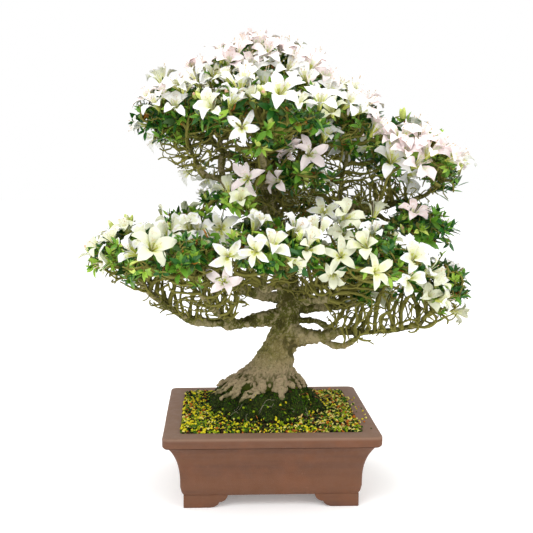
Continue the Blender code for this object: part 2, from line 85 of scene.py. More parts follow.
class NodeSheet:
    """A node tree that is filled in by the names of its sockets."""

    def __init__(self, tree: NodeTree) -> None:
        """Takes the tree to add nodes to."""
        self.tree = tree

    def feed(self, socket: NodeSocket, value: object) -> None:
        """Links a socket to another, or sets its plain value."""
        if isinstance(value, NodeSocket):
            self.tree.links.new(value, socket)
        else:
            socket.default_value = value

    def add(self, kind: str, settings: dict[str, object] | None = None,
            sockets: dict[int, object] | None = None, **inputs: object) -> Node:
        """Adds a node.

        Args:
            kind: the node's type, without its prefix.
            settings: the node's own properties.
            sockets: a value or another node's socket for the inputs that go by number.
            **inputs: the same for those that go by name, with _ for a space.

        Returns:
            The new node.
        """
        node = self.tree.nodes.new("ShaderNode" + kind)
        for name, value in (settings or {}).items():
            setattr(node, name, value)
        named = {name.replace("_", " "): value for name, value in inputs.items()}
        for key, value in {**(sockets or {}), **named}.items():
            self.feed(node.inputs[key], value)
        return node

    def group(self, name: str, build: Callable[["NodeSheet"], None], **inputs: object) -> Node:
        """Places a shared group, which is built the first time it is asked for.

        Args:
            name: the group's name.
            build: fills the new group's tree.
            **inputs: values or sockets for the group's inputs.

        Returns:
            The group's node.
        """
        tree = bpy.data.node_groups.get(name)
        if tree is None:
            tree = bpy.data.node_groups.new(name, "ShaderNodeTree")
            build(NodeSheet(tree))
        return self.add("Group", {"node_tree": tree}, **inputs)

    def object_place(self) -> NodeSocket:
        """Where a point of the surface lies."""
        return self.add("TexCoord").outputs["Object"]

    def step(self, value: object, low: object, high: object) -> NodeSocket:
        """A mask that turns softly from 0 to 1 as a value goes from low to high."""
        return self.add("MapRange", {"interpolation_type": "SMOOTHSTEP"}, Value=value, From_Min=low,
                        From_Max=high).outputs["Result"]

    def above(self, low: float, high: float) -> NodeSocket:
        """A mask that turns from 0 to 1 between two heights above the ground."""
        return self.step(self.add("SeparateXYZ", Vector=self.object_place()).outputs["Z"], low, high)

    def times(self, first: object, second: object) -> NodeSocket:
        """The product of two masks."""
        return self.add("Math", {"operation": "MULTIPLY"}, {0: first, 1: second}).outputs[0]

    def coats(self, base: Colour, *coats: tuple[object, object, Colour]) -> NodeSocket:
        """Lays coats of colour over each other.

        Args:
            base: the lowest colour.
            *coats: each coat's mask, a share or a second mask that thins it, and its colour.

        Returns:
            The socket of the mixed colour.
        """
        colour = linear(base)
        for mask, share, over in coats:
            masks = {0: self.times(mask, share), 6: colour, 7: linear(over)}
            colour = self.add("Mix", {"data_type": "RGBA"}, masks).outputs[2]
        return colour

    def mottle(self, scale: float, low: float, high: float, stretch: Point = (1.0, 1.0, 1.0)) -> NodeSocket:
        """Uneven patches over a surface, as a mask from 0 to 1.

        Args:
            scale: how many patches there are in a metre.
            low: the noise below which the mask is 0.
            high: the noise above which it is 1.
            stretch: how the patches are squeezed along each axis.

        Returns:
            The mask's socket.
        """
        node = self.group("mottle", mottle_group, Scale=scale, Low=low, High=high, Stretch=stretch)
        return node.outputs["Mask"]

    def relief(self, scale: float, pitting: float) -> NodeSocket:
        """A rough surface's height, from its bumps in a metre and the share of it that is pits."""
        return self.group("relief", relief_group, Scale=scale, Pitting=pitting).outputs["Height"]

    def ends(self, inputs: dict[str, str], output: str) -> tuple[dict[str, NodeSocket], NodeSocket]:
        """Gives a group its named sockets.

        Args:
            inputs: the type of each input.
            output: the name of the one value that it puts out.

        Returns:
            The inputs' sockets by name, and the socket that takes what is put out.
        """
        for side, sockets in (("INPUT", inputs), ("OUTPUT", {output: "Float"})):
            for name, kind in sockets.items():
                self.tree.interface.new_socket(name, in_out=side, socket_type="NodeSocket" + kind)
        start, end = [self.tree.nodes.new("NodeGroup" + side) for side in ("Input", "Output")]
        return {name: start.outputs[name] for name in inputs}, end.inputs[output]


def mottle_group(sheet: NodeSheet) -> None:
    """Fills the group that makes a mask of uneven patches."""
    given, mask = sheet.ends({"Scale": "Float", "Low": "Float", "High": "Float", "Stretch": "Vector"}, "Mask")
    squeezed = sheet.add("VectorMath", {"operation": "MULTIPLY"},
                         {0: sheet.object_place(), 1: given["Stretch"]})
    cloud = sheet.add("TexNoise", Vector=squeezed.outputs[0], Scale=given["Scale"], Detail=4.0, Roughness=0.6)
    sheet.feed(mask, sheet.step(cloud.outputs["Fac"], given["Low"], given["High"]))


def relief_group(sheet: NodeSheet) -> None:
    """Fills the group that makes a rough surface's height."""
    given, height = sheet.ends({"Scale": "Float", "Pitting": "Float"}, "Height")
    place = sheet.object_place()
    cloud = sheet.add("TexNoise", Vector=place, Scale=given["Scale"], Detail=5.0, Roughness=0.65)
    pits = sheet.add("TexVoronoi", Vector=place, Scale=given["Scale"])
    blend = sheet.add("Mix", Factor=given["Pitting"], A=cloud.outputs["Fac"], B=pits.outputs["Distance"])
    sheet.feed(height, blend.outputs["Result"])


@dataclass(frozen=True)
class Finish:
    """What a surface is made of."""

    name: str

    def material(self) -> Material:
        """The finish as a material, made once."""
        material = bpy.data.materials.get(self.name)
        if material is None:
            material = bpy.data.materials.new(self.name)
            material.use_nodes = True
            self.fill(NodeSheet(material.node_tree), material.node_tree.nodes["Principled BSDF"].inputs)
        return material

    def fill(self, sheet: NodeSheet, shader: dict[str, NodeSocket]) -> None:
        """Sets the shader's inputs."""
        raise NotImplementedError


@dataclass(frozen=True)
class PlainFinish(Finish):
    """One colour, for small pieces whose colours are dealt out by spray."""

    colour: Colour
    roughness: float = 0.6
    gloss: float = 0.2

    def fill(self, sheet: NodeSheet, shader: dict[str, NodeSocket]) -> None:
        """Sets the shader's plain values."""
        shader["Base Color"].default_value = linear(self.colour)
        shader["Roughness"].default_value = self.roughness
        shader["Specular IOR Level"].default_value = self.gloss


def palette(*rows: tuple) -> list[PlainFinish]:
    """Plain finishes, from rows of their names, colours and, where they differ, roughness and gloss."""
    return [PlainFinish(*row) for row in rows]


@dataclass(frozen=True)
class PatternedFinish(Finish):
    """A finish whose colour and relief change over the surface."""

    gloss: float
    bump: float

    def fill(self, sheet: NodeSheet, shader: dict[str, NodeSocket]) -> None:
        """Links the shader to the finish's nodes."""
        colour, roughness, height = self.paint(sheet)
        raised = sheet.add("Bump", Height=height, Strength=0.6, Distance=self.bump)
        for name, value in (("Specular IOR Level", self.gloss), ("Base Color", colour),
                            ("Roughness", roughness), ("Normal", raised.outputs["Normal"])):
            sheet.feed(shader[name], value)

    def paint(self, sheet: NodeSheet) -> tuple[object, object, object]:
        """Adds the nodes of the finish, and gives its colour, roughness and height."""
        raise NotImplementedError


@dataclass(frozen=True)
class ClayFinish(PatternedFinish):
    """Unglazed brown stoneware with faint level bands, greyer on top of the rim."""

    name: str = "unglazed_clay"
    gloss: float = 0.35
    bump: float = 0.0005
    body: Colour = (106, 69, 47)
    dark: Colour = (90, 60, 45)
    warm: Colour = (116, 72, 47)
    rim: Colour = (138, 110, 92)
    dust: Colour = (150, 118, 96)

    def paint(self, sheet: NodeSheet) -> tuple[object, object, object]:
        """Lays bands, warm patches, the rim's grey, dark specks and dust over the clay."""
        colour = sheet.coats(
            self.body,
            (sheet.mottle(5.0, 0.42, 0.66, (0.5, 0.5, 7.0)), 0.75, self.dark),
            (sheet.mottle(22.0, 0.45, 0.72), 0.60, self.warm),
            (sheet.above(POT_HEIGHT - 0.006, POT_HEIGHT - 0.0005), 0.75, self.rim),
            (sheet.mottle(850.0, 0.60, 0.70), 0.45, self.dark),
            (sheet.mottle(420.0, 0.66, 0.74), 0.35, self.dust))
        roughness = sheet.add("MapRange", Value=sheet.mottle(60.0, 0.3, 0.7), To_Min=0.58, To_Max=0.78)
        return colour, roughness.outputs["Result"], sheet.relief(600.0, 0.3)


@dataclass(frozen=True)
class BarkFinish(PatternedFinish):
    """Grey-brown bark with green algae and moss low down; paler crests and darker furrows, partly painted
    highlight and painted shade.
    """

    name: str = "weathered_bark"
    gloss: float = 0.12
    bump: float = 0.0024
    body: Colour = (132, 120, 76)
    # pale and furrow are partly painted highlight on the crests and painted shade in the furrows; they also
    # make random flecks
    pale: Colour = (172, 158, 122)
    furrow: Colour = (58, 54, 22)
    algae: Colour = (104, 104, 44)
    mossy: Colour = (82, 84, 30)
    moss: Colour = (58, 68, 14)
    root: Colour = (164, 144, 118)
    foot_low: float = 0.142
    foot_high: float = 0.176

    def paint(self, sheet: NodeSheet) -> tuple[object, object, object]:
        """Lays algae, moss, pale crests and dark furrows, partly painted highlight and painted shade, over
        the bark, and paler bark over the roots.
        """
        relief = sheet.add("Attribute", {"attribute_name": "relief"}).outputs["Fac"]
        colour = sheet.coats(
            self.body,
            (sheet.mottle(34.0, 0.40, 0.62), 0.65, self.algae),
            (sheet.above(0.232, 0.262), sheet.mottle(55.0, 0.22, 0.46), self.mossy),
            (sheet.above(0.215, 0.170), 0.80, self.root),
            # painted highlight: raised crests and roots are made paler, following the relief
            (sheet.step(relief, 0.50, 0.86), 0.60, self.pale),
            (sheet.mottle(150.0, 0.52, 0.64), 0.50, self.moss),
            (sheet.mottle(300.0, 0.52, 0.62), 0.50, self.pale),
            (sheet.mottle(380.0, 0.56, 0.64), 0.55, self.furrow),
            # painted shade: furrows and the hollows between the roots are made darker, following the relief
            (sheet.step(relief, 0.46, 0.16), 0.70, self.furrow),
            (sheet.above(self.foot_high + 0.014, self.foot_low + 0.014), sheet.step(relief, 0.44, 0.28),
             self.moss),
            (sheet.above(self.foot_high - 0.016, self.foot_low - 0.006), sheet.mottle(70.0, 0.42, 0.54),
             self.moss))
        return colour, 0.9, sheet.relief(300.0, 0.35)


@dataclass(frozen=True)
class EarthFinish(PatternedFinish):
    """Damp dark earth or moss with lighter crumbs."""

    gloss: float = 0.2
    bump: float = 0.0012
    dark: Colour = (34, 28, 10)
    mid: Colour = (70, 64, 16)
    light: Colour = (110, 104, 28)

    def paint(self, sheet: NodeSheet) -> tuple[object, object, object]:
        """Lays two sizes of lighter crumbs over the dark ground."""
        colour = sheet.coats(self.dark, (sheet.mottle(120.0, 0.42, 0.60), 1.0, self.mid),
                             (sheet.mottle(420.0, 0.54, 0.64), 1.0, self.light))
        return colour, 0.9, sheet.relief(500.0, 0.5)


CLAY = ClayFinish()
BARK = BarkFinish()
SOIL_BED = EarthFinish("soil_bed")
MOSS_BED = EarthFinish("moss_bed", dark=(20, 28, 4), mid=(40, 52, 8), light=(70, 84, 16))


# ---- Shapes and pieces ---------------------------------------------------------------------------
@dataclass
class Shape:
    """A small mesh of triangles, each in a zone of its own colour."""

    points: np.ndarray
    faces: np.ndarray
    zones: np.ndarray

    @classmethod
    def made_by(cls, build: Callable[[BMesh], object]) -> "Shape":
        """Runs a modelling function and keeps its result; a face's material index is its zone."""
        mesh = bmesh.new()
        build(mesh)
        bmesh.ops.triangulate(mesh, faces=mesh.faces)
        mesh.verts.index_update()
        shape = cls(np.array([vert.co for vert in mesh.verts]),
                    np.array([[vert.index for vert in face.verts] for face in mesh.faces]),
                    np.array([face.material_index for face in mesh.faces]))
        mesh.free()
        return shape


def mesh_made_by(name: str, build: Callable[[BMesh], object]) -> Mesh:
    """Runs a modelling function on an empty bmesh and gives the named mesh.

    Args:
        name: the mesh's name.
        build: shapes the bmesh.

    Returns:
        The new mesh.
    """
    shape = bmesh.new()
    build(shape)
    mesh = bpy.data.meshes.new(name)
    shape.to_mesh(mesh)
    shape.free()
    return mesh


def show(name: str, data: object) -> Object:
    """Puts a mesh, a curve, a light or a camera into the scene as an object."""
    item = bpy.data.objects.new(name, data)
    bpy.context.scene.collection.objects.link(item)
    return item


def baked(item: Object, keep: bool = False) -> Mesh:
    """An object's mesh with its modifiers applied; unless it is kept, the object itself is removed."""
    mesh = bpy.data.meshes.new_from_object(item.evaluated_get(bpy.context.evaluated_depsgraph_get()))
    if not keep:
        bpy.data.objects.remove(item, do_unlink=True)
    return mesh


def modify(item: Object, kind: str, **settings: object) -> None:
    """Adds a modifier with its settings."""
    modifier = item.modifiers.new(kind.lower(), kind)
    for name, value in settings.items():
        setattr(modifier, name, value)


def dress(piece: Object, finishes: Sequence[Finish], replaced: Sequence[str] = (),
          sharp: float = 180.0) -> None:
    """Finishes a piece of the plant or the pot.

    Args:
        piece: the piece, in place.
        finishes: its materials, in the order of its faces' indices.
        replaced: the frame's nodes that it stands for.
        sharp: faces that meet at more than this angle, in degrees, keep a sharp edge.
    """
    for finish in finishes:
        piece.data.materials.append(finish.material())
    piece.data.shade_smooth()
    if sharp < 180.0:
        piece.data.set_sharp_from_angle(angle=math.radians(sharp))
    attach(piece, "root")
    if replaced:
        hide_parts(*replaced)
    piece.data.calc_loop_triangles()
    LOG.info("%s: %d triangles", piece.name, len(piece.data.loop_triangles))


def batched(items: Iterable[object], triangles: Callable[[object], int]) -> list[list]:
    """Parts items into lists that each stay under the limit of triangles.

    Args:
        items: what is parted.
        triangles: how many triangles an item has.

    Returns:
        The lists.
    """
    batches: list[list] = [[]]
    held = 0
    for item in items:
        held += triangles(item)
        if held > MOST_TRIANGLES:
            batches.append([])
            held = triangles(item)
        batches[-1].append(item)
    return batches


Copy = tuple[Shape, Matrix, Sequence[int]]


class Scatter:
    """Many copies of small shapes, joined into pieces that stay under the limit of triangles."""

    def __init__(self, name: str, slot: str, finishes: Sequence[Finish]) -> None:
        """Takes the pieces' name, their material slot, which is not used, and the palette that copies draw
        from.
        """
        self.name, self.slot, self.finishes = name, slot, finishes
        self.copies: list[Copy] = []

    def place(self, shape: Shape, matrix: Matrix, *tints: int) -> None:
        """Adds a copy of a shape, with the finish that each of its zones has."""
        self.copies.append((shape, matrix, tints))

    def build(self, replaced: Sequence[str] = ()) -> None:
        """Joins the copies into pieces; the first one stands for the replaced nodes."""
        batches = batched(self.copies, lambda copy: len(copy[0].faces))
        for number, batch in enumerate(batches, start=1):
            name = self.name if len(batches) == 1 else f"{self.name}_{number}"
            piece = show(name, self.joined(name, batch))
            dress(piece, self.finishes, replaced if number == 1 else ())

    @staticmethod
    def joined(name: str, batch: Sequence[Copy]) -> Mesh:
        """One mesh of all the copies of a batch."""
        groups: dict[int, list[Copy]] = {}
        for copy in batch:
            groups.setdefault(id(copy[0]), []).append(copy)
        points, faces, tints = [], [], []
        start = 0
        for copies in groups.values():
            shape = copies[0][0]
            places = np.array([copy[1] for copy in copies])
            moved = np.einsum("nij,vj->nvi", places[:, :3, :3], shape.points) + places[:, None, :3, 3]
            shifts = start + np.arange(len(copies)) * len(shape.points)
            points.append(moved.reshape(-1, 3))
            faces.append((shape.faces[None] + shifts[:, None, None]).reshape(-1, 3))
            tints.append(np.array([copy[2] for copy in copies])[:, shape.zones].ravel())
            start += len(copies) * len(shape.points)
        mesh = bpy.data.meshes.new(name)
        mesh.from_pydata(np.concatenate(points), [], np.concatenate(faces))
        mesh.polygons.foreach_set("material_index", np.concatenate(tints).astype(np.int32))
        return mesh


def frame_of(axis: Vector, roll: float) -> Matrix:
    """A turn that points +Z along an axis and then rolls about it.

    Args:
        axis: where +Z goes.
        roll: the angle of the roll; at 0, +Y points as far up as it can.

    Returns:
        A rotation matrix.
    """
    forward = axis.normalized()
    upward = UP if abs(forward.z) < 0.98 else Vector((0.0, 1.0, 0.0))
    across = upward.cross(forward).normalized()
    turn = Matrix((across, forward.cross(across), forward)).transposed()
    return turn @ Matrix.Rotation(roll, 3, "Z")


def placed(point: Vector, turn: Matrix, scale: float | Vector) -> Matrix:
    """A copy's matrix from its place, its turn and its scale."""
    sizes = scale if isinstance(scale, Vector) else Vector((scale, scale, scale))
    return Matrix.Translation(point) @ turn.to_4x4() @ Matrix.Diagonal((*sizes, 1.0))


def random_direction(dice: random.Random) -> Vector:
    """A direction with no preference."""
    height = dice.uniform(-1.0, 1.0)
    angle = dice.uniform(0.0, math.tau)
    level = math.sqrt(1.0 - height * height)
    return Vector((level * math.cos(angle), level * math.sin(angle), height))


def tree_of(points: Sequence[Vector]) -> KDTree:
    """A tree that finds the nearest of some points."""
    tree = KDTree(len(points))
    for index, point in enumerate(points):
        tree.insert(point, index)
    tree.balance()
    return tree


def smooth_path(points: Sequence[Vector], steps: int) -> list[Vector]:
    """Points on a smooth curve.

    Args:
        points: what the curve runs through.
        steps: how many points it has in each span.

    Returns:
        The curve's points.
    """
    ends = [2 * points[0] - points[1], *points, 2 * points[-1] - points[-2]]
    path = []
    for before, start, end, after in zip(ends, ends[1:], ends[2:], ends[3:]):
        for step in range(steps):
            t = step / steps
            path.append(0.5 * (2 * start + (end - before) * t
                               + (2 * before - 5 * start + 4 * end - after) * t ** 2
                               + (3 * start - before - 3 * end + after) * t ** 3))
    return path + [points[-1]]


@dataclass(frozen=True)
class Strand:
    """A centre line with a radius at each of its points, and the finish of its tube."""

    points: Sequence[Vector]
    radii: Sequence[float]
    tint: int = 0


def tubes(name: str, strands: Iterable[Strand], sides: int) -> Mesh:
    """Capped tubes along centre lines.

    Args:
        name: the mesh's name.
        strands: the centre lines.
        sides: the bevel resolution, where 0 gives four sides.

    Returns:
        One mesh of all the tubes.
    """
    curve = bpy.data.curves.new(name, "CURVE")
    curve.dimensions = "3D"
    curve.bevel_depth = 1.0
    curve.bevel_resolution = sides
    curve.use_fill_caps = True
    for strand in strands:
        spline = curve.splines.new("POLY")
        spline.points.add(len(strand.points) - 1)
        spline.points.foreach_set("co", [part for point in strand.points for part in (*point, 1.0)])
        spline.points.foreach_set("radius", list(strand.radii))
        spline.material_index = strand.tint
        spline.use_smooth = True
    mesh = baked(show(name, curve))
    bpy.data.curves.remove(curve)
    return mesh


# ---- Pot -----------------------------------------------------------------------------------------
@dataclass
class Pot:
    """The rectangular clay pot: a hollow-curved wall under a flat rim, on four bracket feet."""

    half_length: float = (POT_HIGH.x - POT_LOW.x) / 2
    half_width: float = (POT_HIGH.y - POT_LOW.y) / 2
    foot_height: float = POT_LOW.z
    rim_ledge: float = 0.0255
    rim_corner: float = 0.010
    corner_steps: int = 7
    lip_height: float = 0.0158
    lip_round: float = 0.0026
    undercut: float = 0.0080
    waist_inset: float = 0.0245
    waist_height: float = 0.0335
    cove_power: float = 2.8
    cove_steps: int = 12
    base_inset: float = 0.0268
    base_height: float = 0.0250
    foot_inset: float = 0.0290
    floor: float = 0.010
    cavity_inset: float = 0.0350
    drain_radius: float = 0.009
    drain_spacing: float = 0.110
    foot_bottom: float = 0.037
    foot_step: float = 0.053
    foot_reach: float = 0.066
    foot_step_height: float = 0.0085
    foot_thickness: float = 0.014
    edge: float = 0.0012
    longest_edge: float = 0.05     # past which the wall is divided for its unevenness

    def ring(self, inset: float, height: float) -> list[Vector]:
        """Points round a rectangle with rounded corners, anticlockwise from above.

        Args:
            inset: how far it is set in from the rim's outer face.
            height: its height above the ground.

        Returns:
            The points.
        """
        corner = max(self.rim_corner - inset / 6, 0.003)
        points = []
        for quarter, (side_x, side_y) in enumerate([(1, 1), (-1, 1), (-1, -1), (1, -1)]):
            middle = Vector((side_x * (self.half_length - inset - corner),
                             side_y * (self.half_width - inset - corner), height))
            for step in range(self.corner_steps + 1):
                angle = (quarter + step / self.corner_steps) * math.pi / 2
                arc = Vector((math.cos(angle), math.sin(angle), 0.0)) * corner
                points.append(POT_CENTRE + middle + arc)
        return points

    def profile(self) -> list[tuple[float, float]]:
        """The wall's inset and height at each ring, from the underside over the rim to the soil."""
        under = POT_HEIGHT - self.lip_height
        crease = under - self.undercut / 2
        rows = [(self.foot_inset + 0.001, self.foot_height),
                (self.foot_inset - 0.0004, self.foot_height + 0.001),
                (self.base_inset, self.base_height - 0.0012), (self.base_inset - 0.0006, self.base_height)]
        for step in range(self.cove_steps + 1):
            share = step / self.cove_steps
            rows.append((self.waist_inset - (self.waist_inset - self.undercut) * share ** self.cove_power,
                         self.waist_height + (crease - self.waist_height) * share))
        rows += [(self.undercut * 0.62, crease + 0.0022), (self.undercut * 0.22, under - 0.0006)]
        for start, centre in ((-90.0, under + self.lip_round), (0.0, POT_HEIGHT - self.lip_round)):
            for turn in (0.0, 22.5, 45.0, 67.5, 90.0):
                angle = math.radians(start + turn)
                inset, lift = self.lip_round * (1 - math.cos(angle)), self.lip_round * math.sin(angle)
                rows.append((inset, centre + lift))
        inner = self.rim_ledge
        return rows + [(inner - 0.0022, POT_HEIGHT), (inner - 0.0008, POT_HEIGHT - 0.0005),
                       (inner, POT_HEIGHT - 0.0020), (self.cavity_inset, self.foot_height + self.floor)]

    def model_wall(self, shape: BMesh) -> None:
        """Bridges the rings from the underside over the rim to the inner floor, a little uneven."""
        loops = []
        for inset, height in self.profile():
            verts = [shape.verts.new(point) for point in self.ring(inset, height)]
            loops.append([shape.edges.new(pair) for pair in zip(verts, verts[1:] + verts[:1])])
        for under, over in zip(loops, loops[1:]):
            bmesh.ops.bridge_loops(shape, edges=under + over)
        for loop in (loops[0], loops[-1]):
            bmesh.ops.contextual_create(shape, geom=loop)
        bmesh.ops.recalc_face_normals(shape, faces=shape.faces)
        long = [edge for edge in shape.edges if edge.calc_length() > self.longest_edge]
        bmesh.ops.subdivide_edges(shape, edges=long, cuts=15)
        for vert in shape.verts:
            slow = noise.noise(vert.co * 9.0) * 0.0007 + noise.noise(vert.co * 31.0) * 0.0002
            outward = Vector((vert.co.x - POT_CENTRE.x, vert.co.y - POT_CENTRE.y, 0.0)).normalized()
            vert.co += outward * slow

    def build_wall(self) -> None:
        """Models the wall and cuts its two drain holes."""
        wall = show("pot_wall", mesh_made_by("pot_wall", self.model_wall))
        for side in (-1, 1):
            middle = self.foot_height + self.floor / 2
            place = POT_CENTRE + Vector((side * self.drain_spacing / 2, 0.0, middle))
            hole = show("drain", mesh_made_by("drain", lambda shape: bmesh.ops.create_cone(
                shape, cap_ends=True, segments=32, radius1=self.drain_radius, radius2=self.drain_radius,
                depth=self.floor * 3, matrix=Matrix.Translation(place))))
            modify(wall, "BOOLEAN", operation="DIFFERENCE", object=hole)
            mesh = baked(wall, keep=True)
            wall.modifiers.clear()
            wall.data = mesh
            bpy.data.objects.remove(hole, do_unlink=True)
        dress(wall, [CLAY], ["pot"], sharp=32.0)

    def foot_arm(self, shape: BMesh) -> None:
        """One arm of a foot: flat below, then two hollow steps up to the pot's underside."""
        toe = (self.foot_bottom, 0.0)
        step_end = (self.foot_step, self.foot_step_height)
        heel = (self.foot_reach, self.foot_height + 0.0008)
        outline = [(0.0, 0.0), toe]
        for start, end in ((toe, step_end), (step_end, heel)):
            for angle in [step / 7 * math.pi / 2 for step in range(1, 8)]:
                outline.append((start[0] + (end[0] - start[0]) * math.sin(angle),
                                start[1] + (end[1] - start[1]) * (1 - math.cos(angle))))
        outline.append((0.0, heel[1]))
        face = shape.faces.new([shape.verts.new((along, 0.0, height)) for along, height in outline])
        push = bmesh.ops.extrude_face_region(shape, geom=[face])["geom"]
        moved = [item for item in push if isinstance(item, BMVert)]
        bmesh.ops.translate(shape, verts=moved, vec=(0.0, self.foot_thickness, 0.0))

    def turned_arm(self, shape: BMesh, side_x: int, side_y: int, swap: bool) -> None:
        """An arm at the corner that the sides name, along the pot's length or, swapped, along its width."""
        self.foot_arm(shape)
        for vert in shape.verts:
            along, across = (vert.co.y, vert.co.x) if swap else (vert.co.x, vert.co.y)
            vert.co.x = POT_CENTRE.x + side_x * (self.half_length - self.foot_inset - along)
            vert.co.y = POT_CENTRE.y + side_y * (self.half_width - self.foot_inset - across)
        bmesh.ops.recalc_face_normals(shape, faces=shape.faces)

    def build_feet(self) -> None:
        """Models the four feet, each of two arms that meet at its corner."""
        for index, (side_x, side_y) in enumerate([(-1, -1), (1, -1), (1, 1), (-1, 1)], start=1):
            first, second = [show("arm", mesh_made_by("arm", lambda shape: self.turned_arm(
                shape, side_x, side_y, swap))) for swap in (False, True)]
            modify(first, "BOOLEAN", operation="UNION", object=second)
            modify(first, "BEVEL", width=self.edge, segments=3, limit_method="ANGLE",
                   angle_limit=math.radians(40))
            foot = show(f"foot_{index}", baked(first))
            bpy.data.objects.remove(second, do_unlink=True)
            dress(foot, [CLAY], [f"pot_foot_{index}"], sharp=40.0)

    def build(self) -> None:
        """Models the whole pot."""
        self.build_wall()
        self.build_feet()


# ---- Trunk and boughs ------------------------------------------------------------------------------
@dataclass(frozen=True)
class Limb:
    """A tapering limb in millimetres: its radii at both ends and its line, from the pot's centre."""

    start_radius: float
    end_radius: float
    points: tuple[Point, ...]

    def line(self, steps: int = 6) -> list[Vector]:
        """The smooth centre line in the shared frame."""
        through = [POT_CENTRE + Vector([part / 1000 for part in point]) for point in self.points]
        return smooth_path(through, steps)

    def radius(self, share: float) -> float:
        """The radius in metres at a share of the length."""
        return (self.start_radius + (self.end_radius - self.start_radius) * share) / 1000

    def strand(self, steps: int) -> Strand:
        """The limb as a centre line with its radii."""
        line = self.line(steps)
        return Strand(line, [self.radius(index / (len(line) - 1)) for index in range(len(line))])


TRUNK = Limb(26.5, 5.5, (
    (-12, 18, SOIL_TOP * 1000), (8, 18, 185), (28, 20, 240), (35, 20, 290), (27, 20, 355), (10, 20, 420),
    (-1, 18, 470), (-8, 12, 540), (-15, 2, 600)))
BOUGHS = {"bough_" + name: Limb(*limb) for name, limb in {
    "low_left": (12.2, 8.0, (
        (26, 20, 266), (-10, 0, 264), (-44, -18, 262), (-78, -30, 264), (-110, -38, 271))),
    "low_left_tip": (7.9, 3.7, ((-110, -38, 271), (-141, -45, 285), (-171, -50, 310), (-200, -50, 343))),
    "low_left_front": (7.0, 4.0, ((-55, -22, 267), (-78, -62, 284), (-97, -98, 314), (-108, -125, 352))),
    "low_left_back": (11.5, 6.0, ((31, 20, 292), (-20, 60, 298), (-68, 92, 316), (-115, 112, 352))),
    "low_right": (12.4, 6.6, (
        (32, 20, 243), (59, 0, 240), (83, -18, 243), (103, -30, 251), (125, -40, 254), (146, -48, 253))),
    "low_right_tip": (6.3, 3.0, ((146, -48, 253), (186, -55, 258), (222, -55, 268), (246, -48, 290))),
    "low_right_loop": (6.0, 4.5, ((78, -14, 241), (97, -36, 232), (119, -48, 237), (138, -46, 251))),
    "low_right_crook": (7.0, 4.5, ((36, 20, 264), (60, 6, 263), (82, -10, 260), (101, -29, 252))),
    "mid_right_low": (11.2, 5.5, (
        (34, 20, 284), (73, 28, 279), (112, 28, 281), (150, 22, 290), (178, 15, 308))),
    "low_right_back": (11.0, 6.0, ((35, 20, 302), (70, 66, 302), (110, 100, 312), (148, 118, 338))),
    "low_back": (10.5, 6.0, ((34, 20, 312), (30, 72, 314), (20, 115, 328), (8, 150, 356))),
    "low_front_right": (8.5, 4.5, ((34, 15, 300), (66, -25, 300), (92, -65, 316), (108, -95, 350))),
    "low_front_left": (8.5, 4.5, ((31, 15, 322), (0, -28, 320), (-12, -66, 332), (-10, -98, 362))),
    "mid_back": (10.0, 5.5, ((25, 20, 362), (14, 60, 374), (2, 96, 398), (-4, 120, 435))),
    "upper_left": (8.8, 3.0, (
        (10, 20, 420), (-28, 10, 440), (-53, 0, 466), (-74, -10, 485), (-97, -18, 493), (-112, -20, 510),
        (-124, -20, 545))),
    "upper_left_rise": (6.1, 4.2, ((-68, -7, 481), (-71, 0, 506), (-74, 0, 536), (-80, 0, 568))),
    "upper_right": (11.8, 9.0, (
        (23, 20, 370), (59, 22, 394), (91, 22, 416), (130, 20, 435), (170, 20, 441))),
    "upper_right_tip": (8.4, 2.6, ((170, 20, 441), (208, 18, 446), (240, 12, 456), (268, 8, 481))),
    "upper_right_rise": (4.8, 3.0, ((104, 22, 423), (112, 15, 455), (116, 8, 490), (122, 0, 535))),
    "mid_right": (6.2, 4.0, ((142, 20, 437), (166, -2, 428), (190, -12, 420), (222, -14, 420))),
    "top_back": (8.5, 5.0, ((3, 18, 452), (10, 55, 474), (16, 86, 505), (18, 110, 550))),
    "top_front": (8.0, 4.8, ((-1, 18, 470), (-8, -18, 486), (-14, -52, 510), (-18, -85, 548))),
    "top_left": (7.5, 4.5, ((-4, 16, 500), (-40, 48, 514), (-75, 72, 530), (-105, 88, 560))),
    "top_right": (8.0, 4.5, ((-2, 18, 488), (34, 48, 492), (70, 76, 502), (105, 98, 530))),
}.items()}
JOINTS = (                         # where a thick bough swells into the trunk
    Limb(17.0, 9.5, ((26, 20, 221), (40, 14, 229), (60, 0, 236), (80, -16, 242))),
    Limb(15.0, 7.2, ((32, 20, 268), (12, 12, 267), (-10, 0, 264), (-36, -14, 262))))


@dataclass(frozen=True)
class Root:
    """A surface root: its heading in degrees, its girth, how far it stands out, and its ends' heights."""

    heading: float
    girth: float
    stand: float
    top: float = 0.198
    foot: float = 0.134

    def sunk(self) -> float:
        """How deep its centre lies in the trunk's skin against its girth: thin ones stand out as ridges."""
        return 0.45 if self.girth > 0.0055 else 0.0


ROOTS = [Root(heading, *[size / 1000 for size in sizes]) for heading, *sizes in (
    (160, 6.0, 2, 178, 145), (176, 4.0, 2, 172, 148), (188, 3.4, 2, 176, 143), (200, 3.6, 3, 174, 147),
    (211, 3.4, 4, 172, 142), (223, 3.6, 5, 172, 146), (234, 3.4, 7, 168, 142), (245, 3.4, 6, 160),
    (252, 8.8, 1, 172), (299, 13.5, 0, 178), (286, 3.6, 7, 152), (304, 4.0, 7, 154), (320, 4.0, 4, 168, 158),
    (335, 3.6, 3, 172, 156), (351, 5.0, 1, 184, 152), (8, 4.4, 1, 180, 146), (32, 7.0, 2), (60, 6.4, 6),
    (88, 8.4, 6), (116, 7.0, 6), (139, 7.8, 6))]


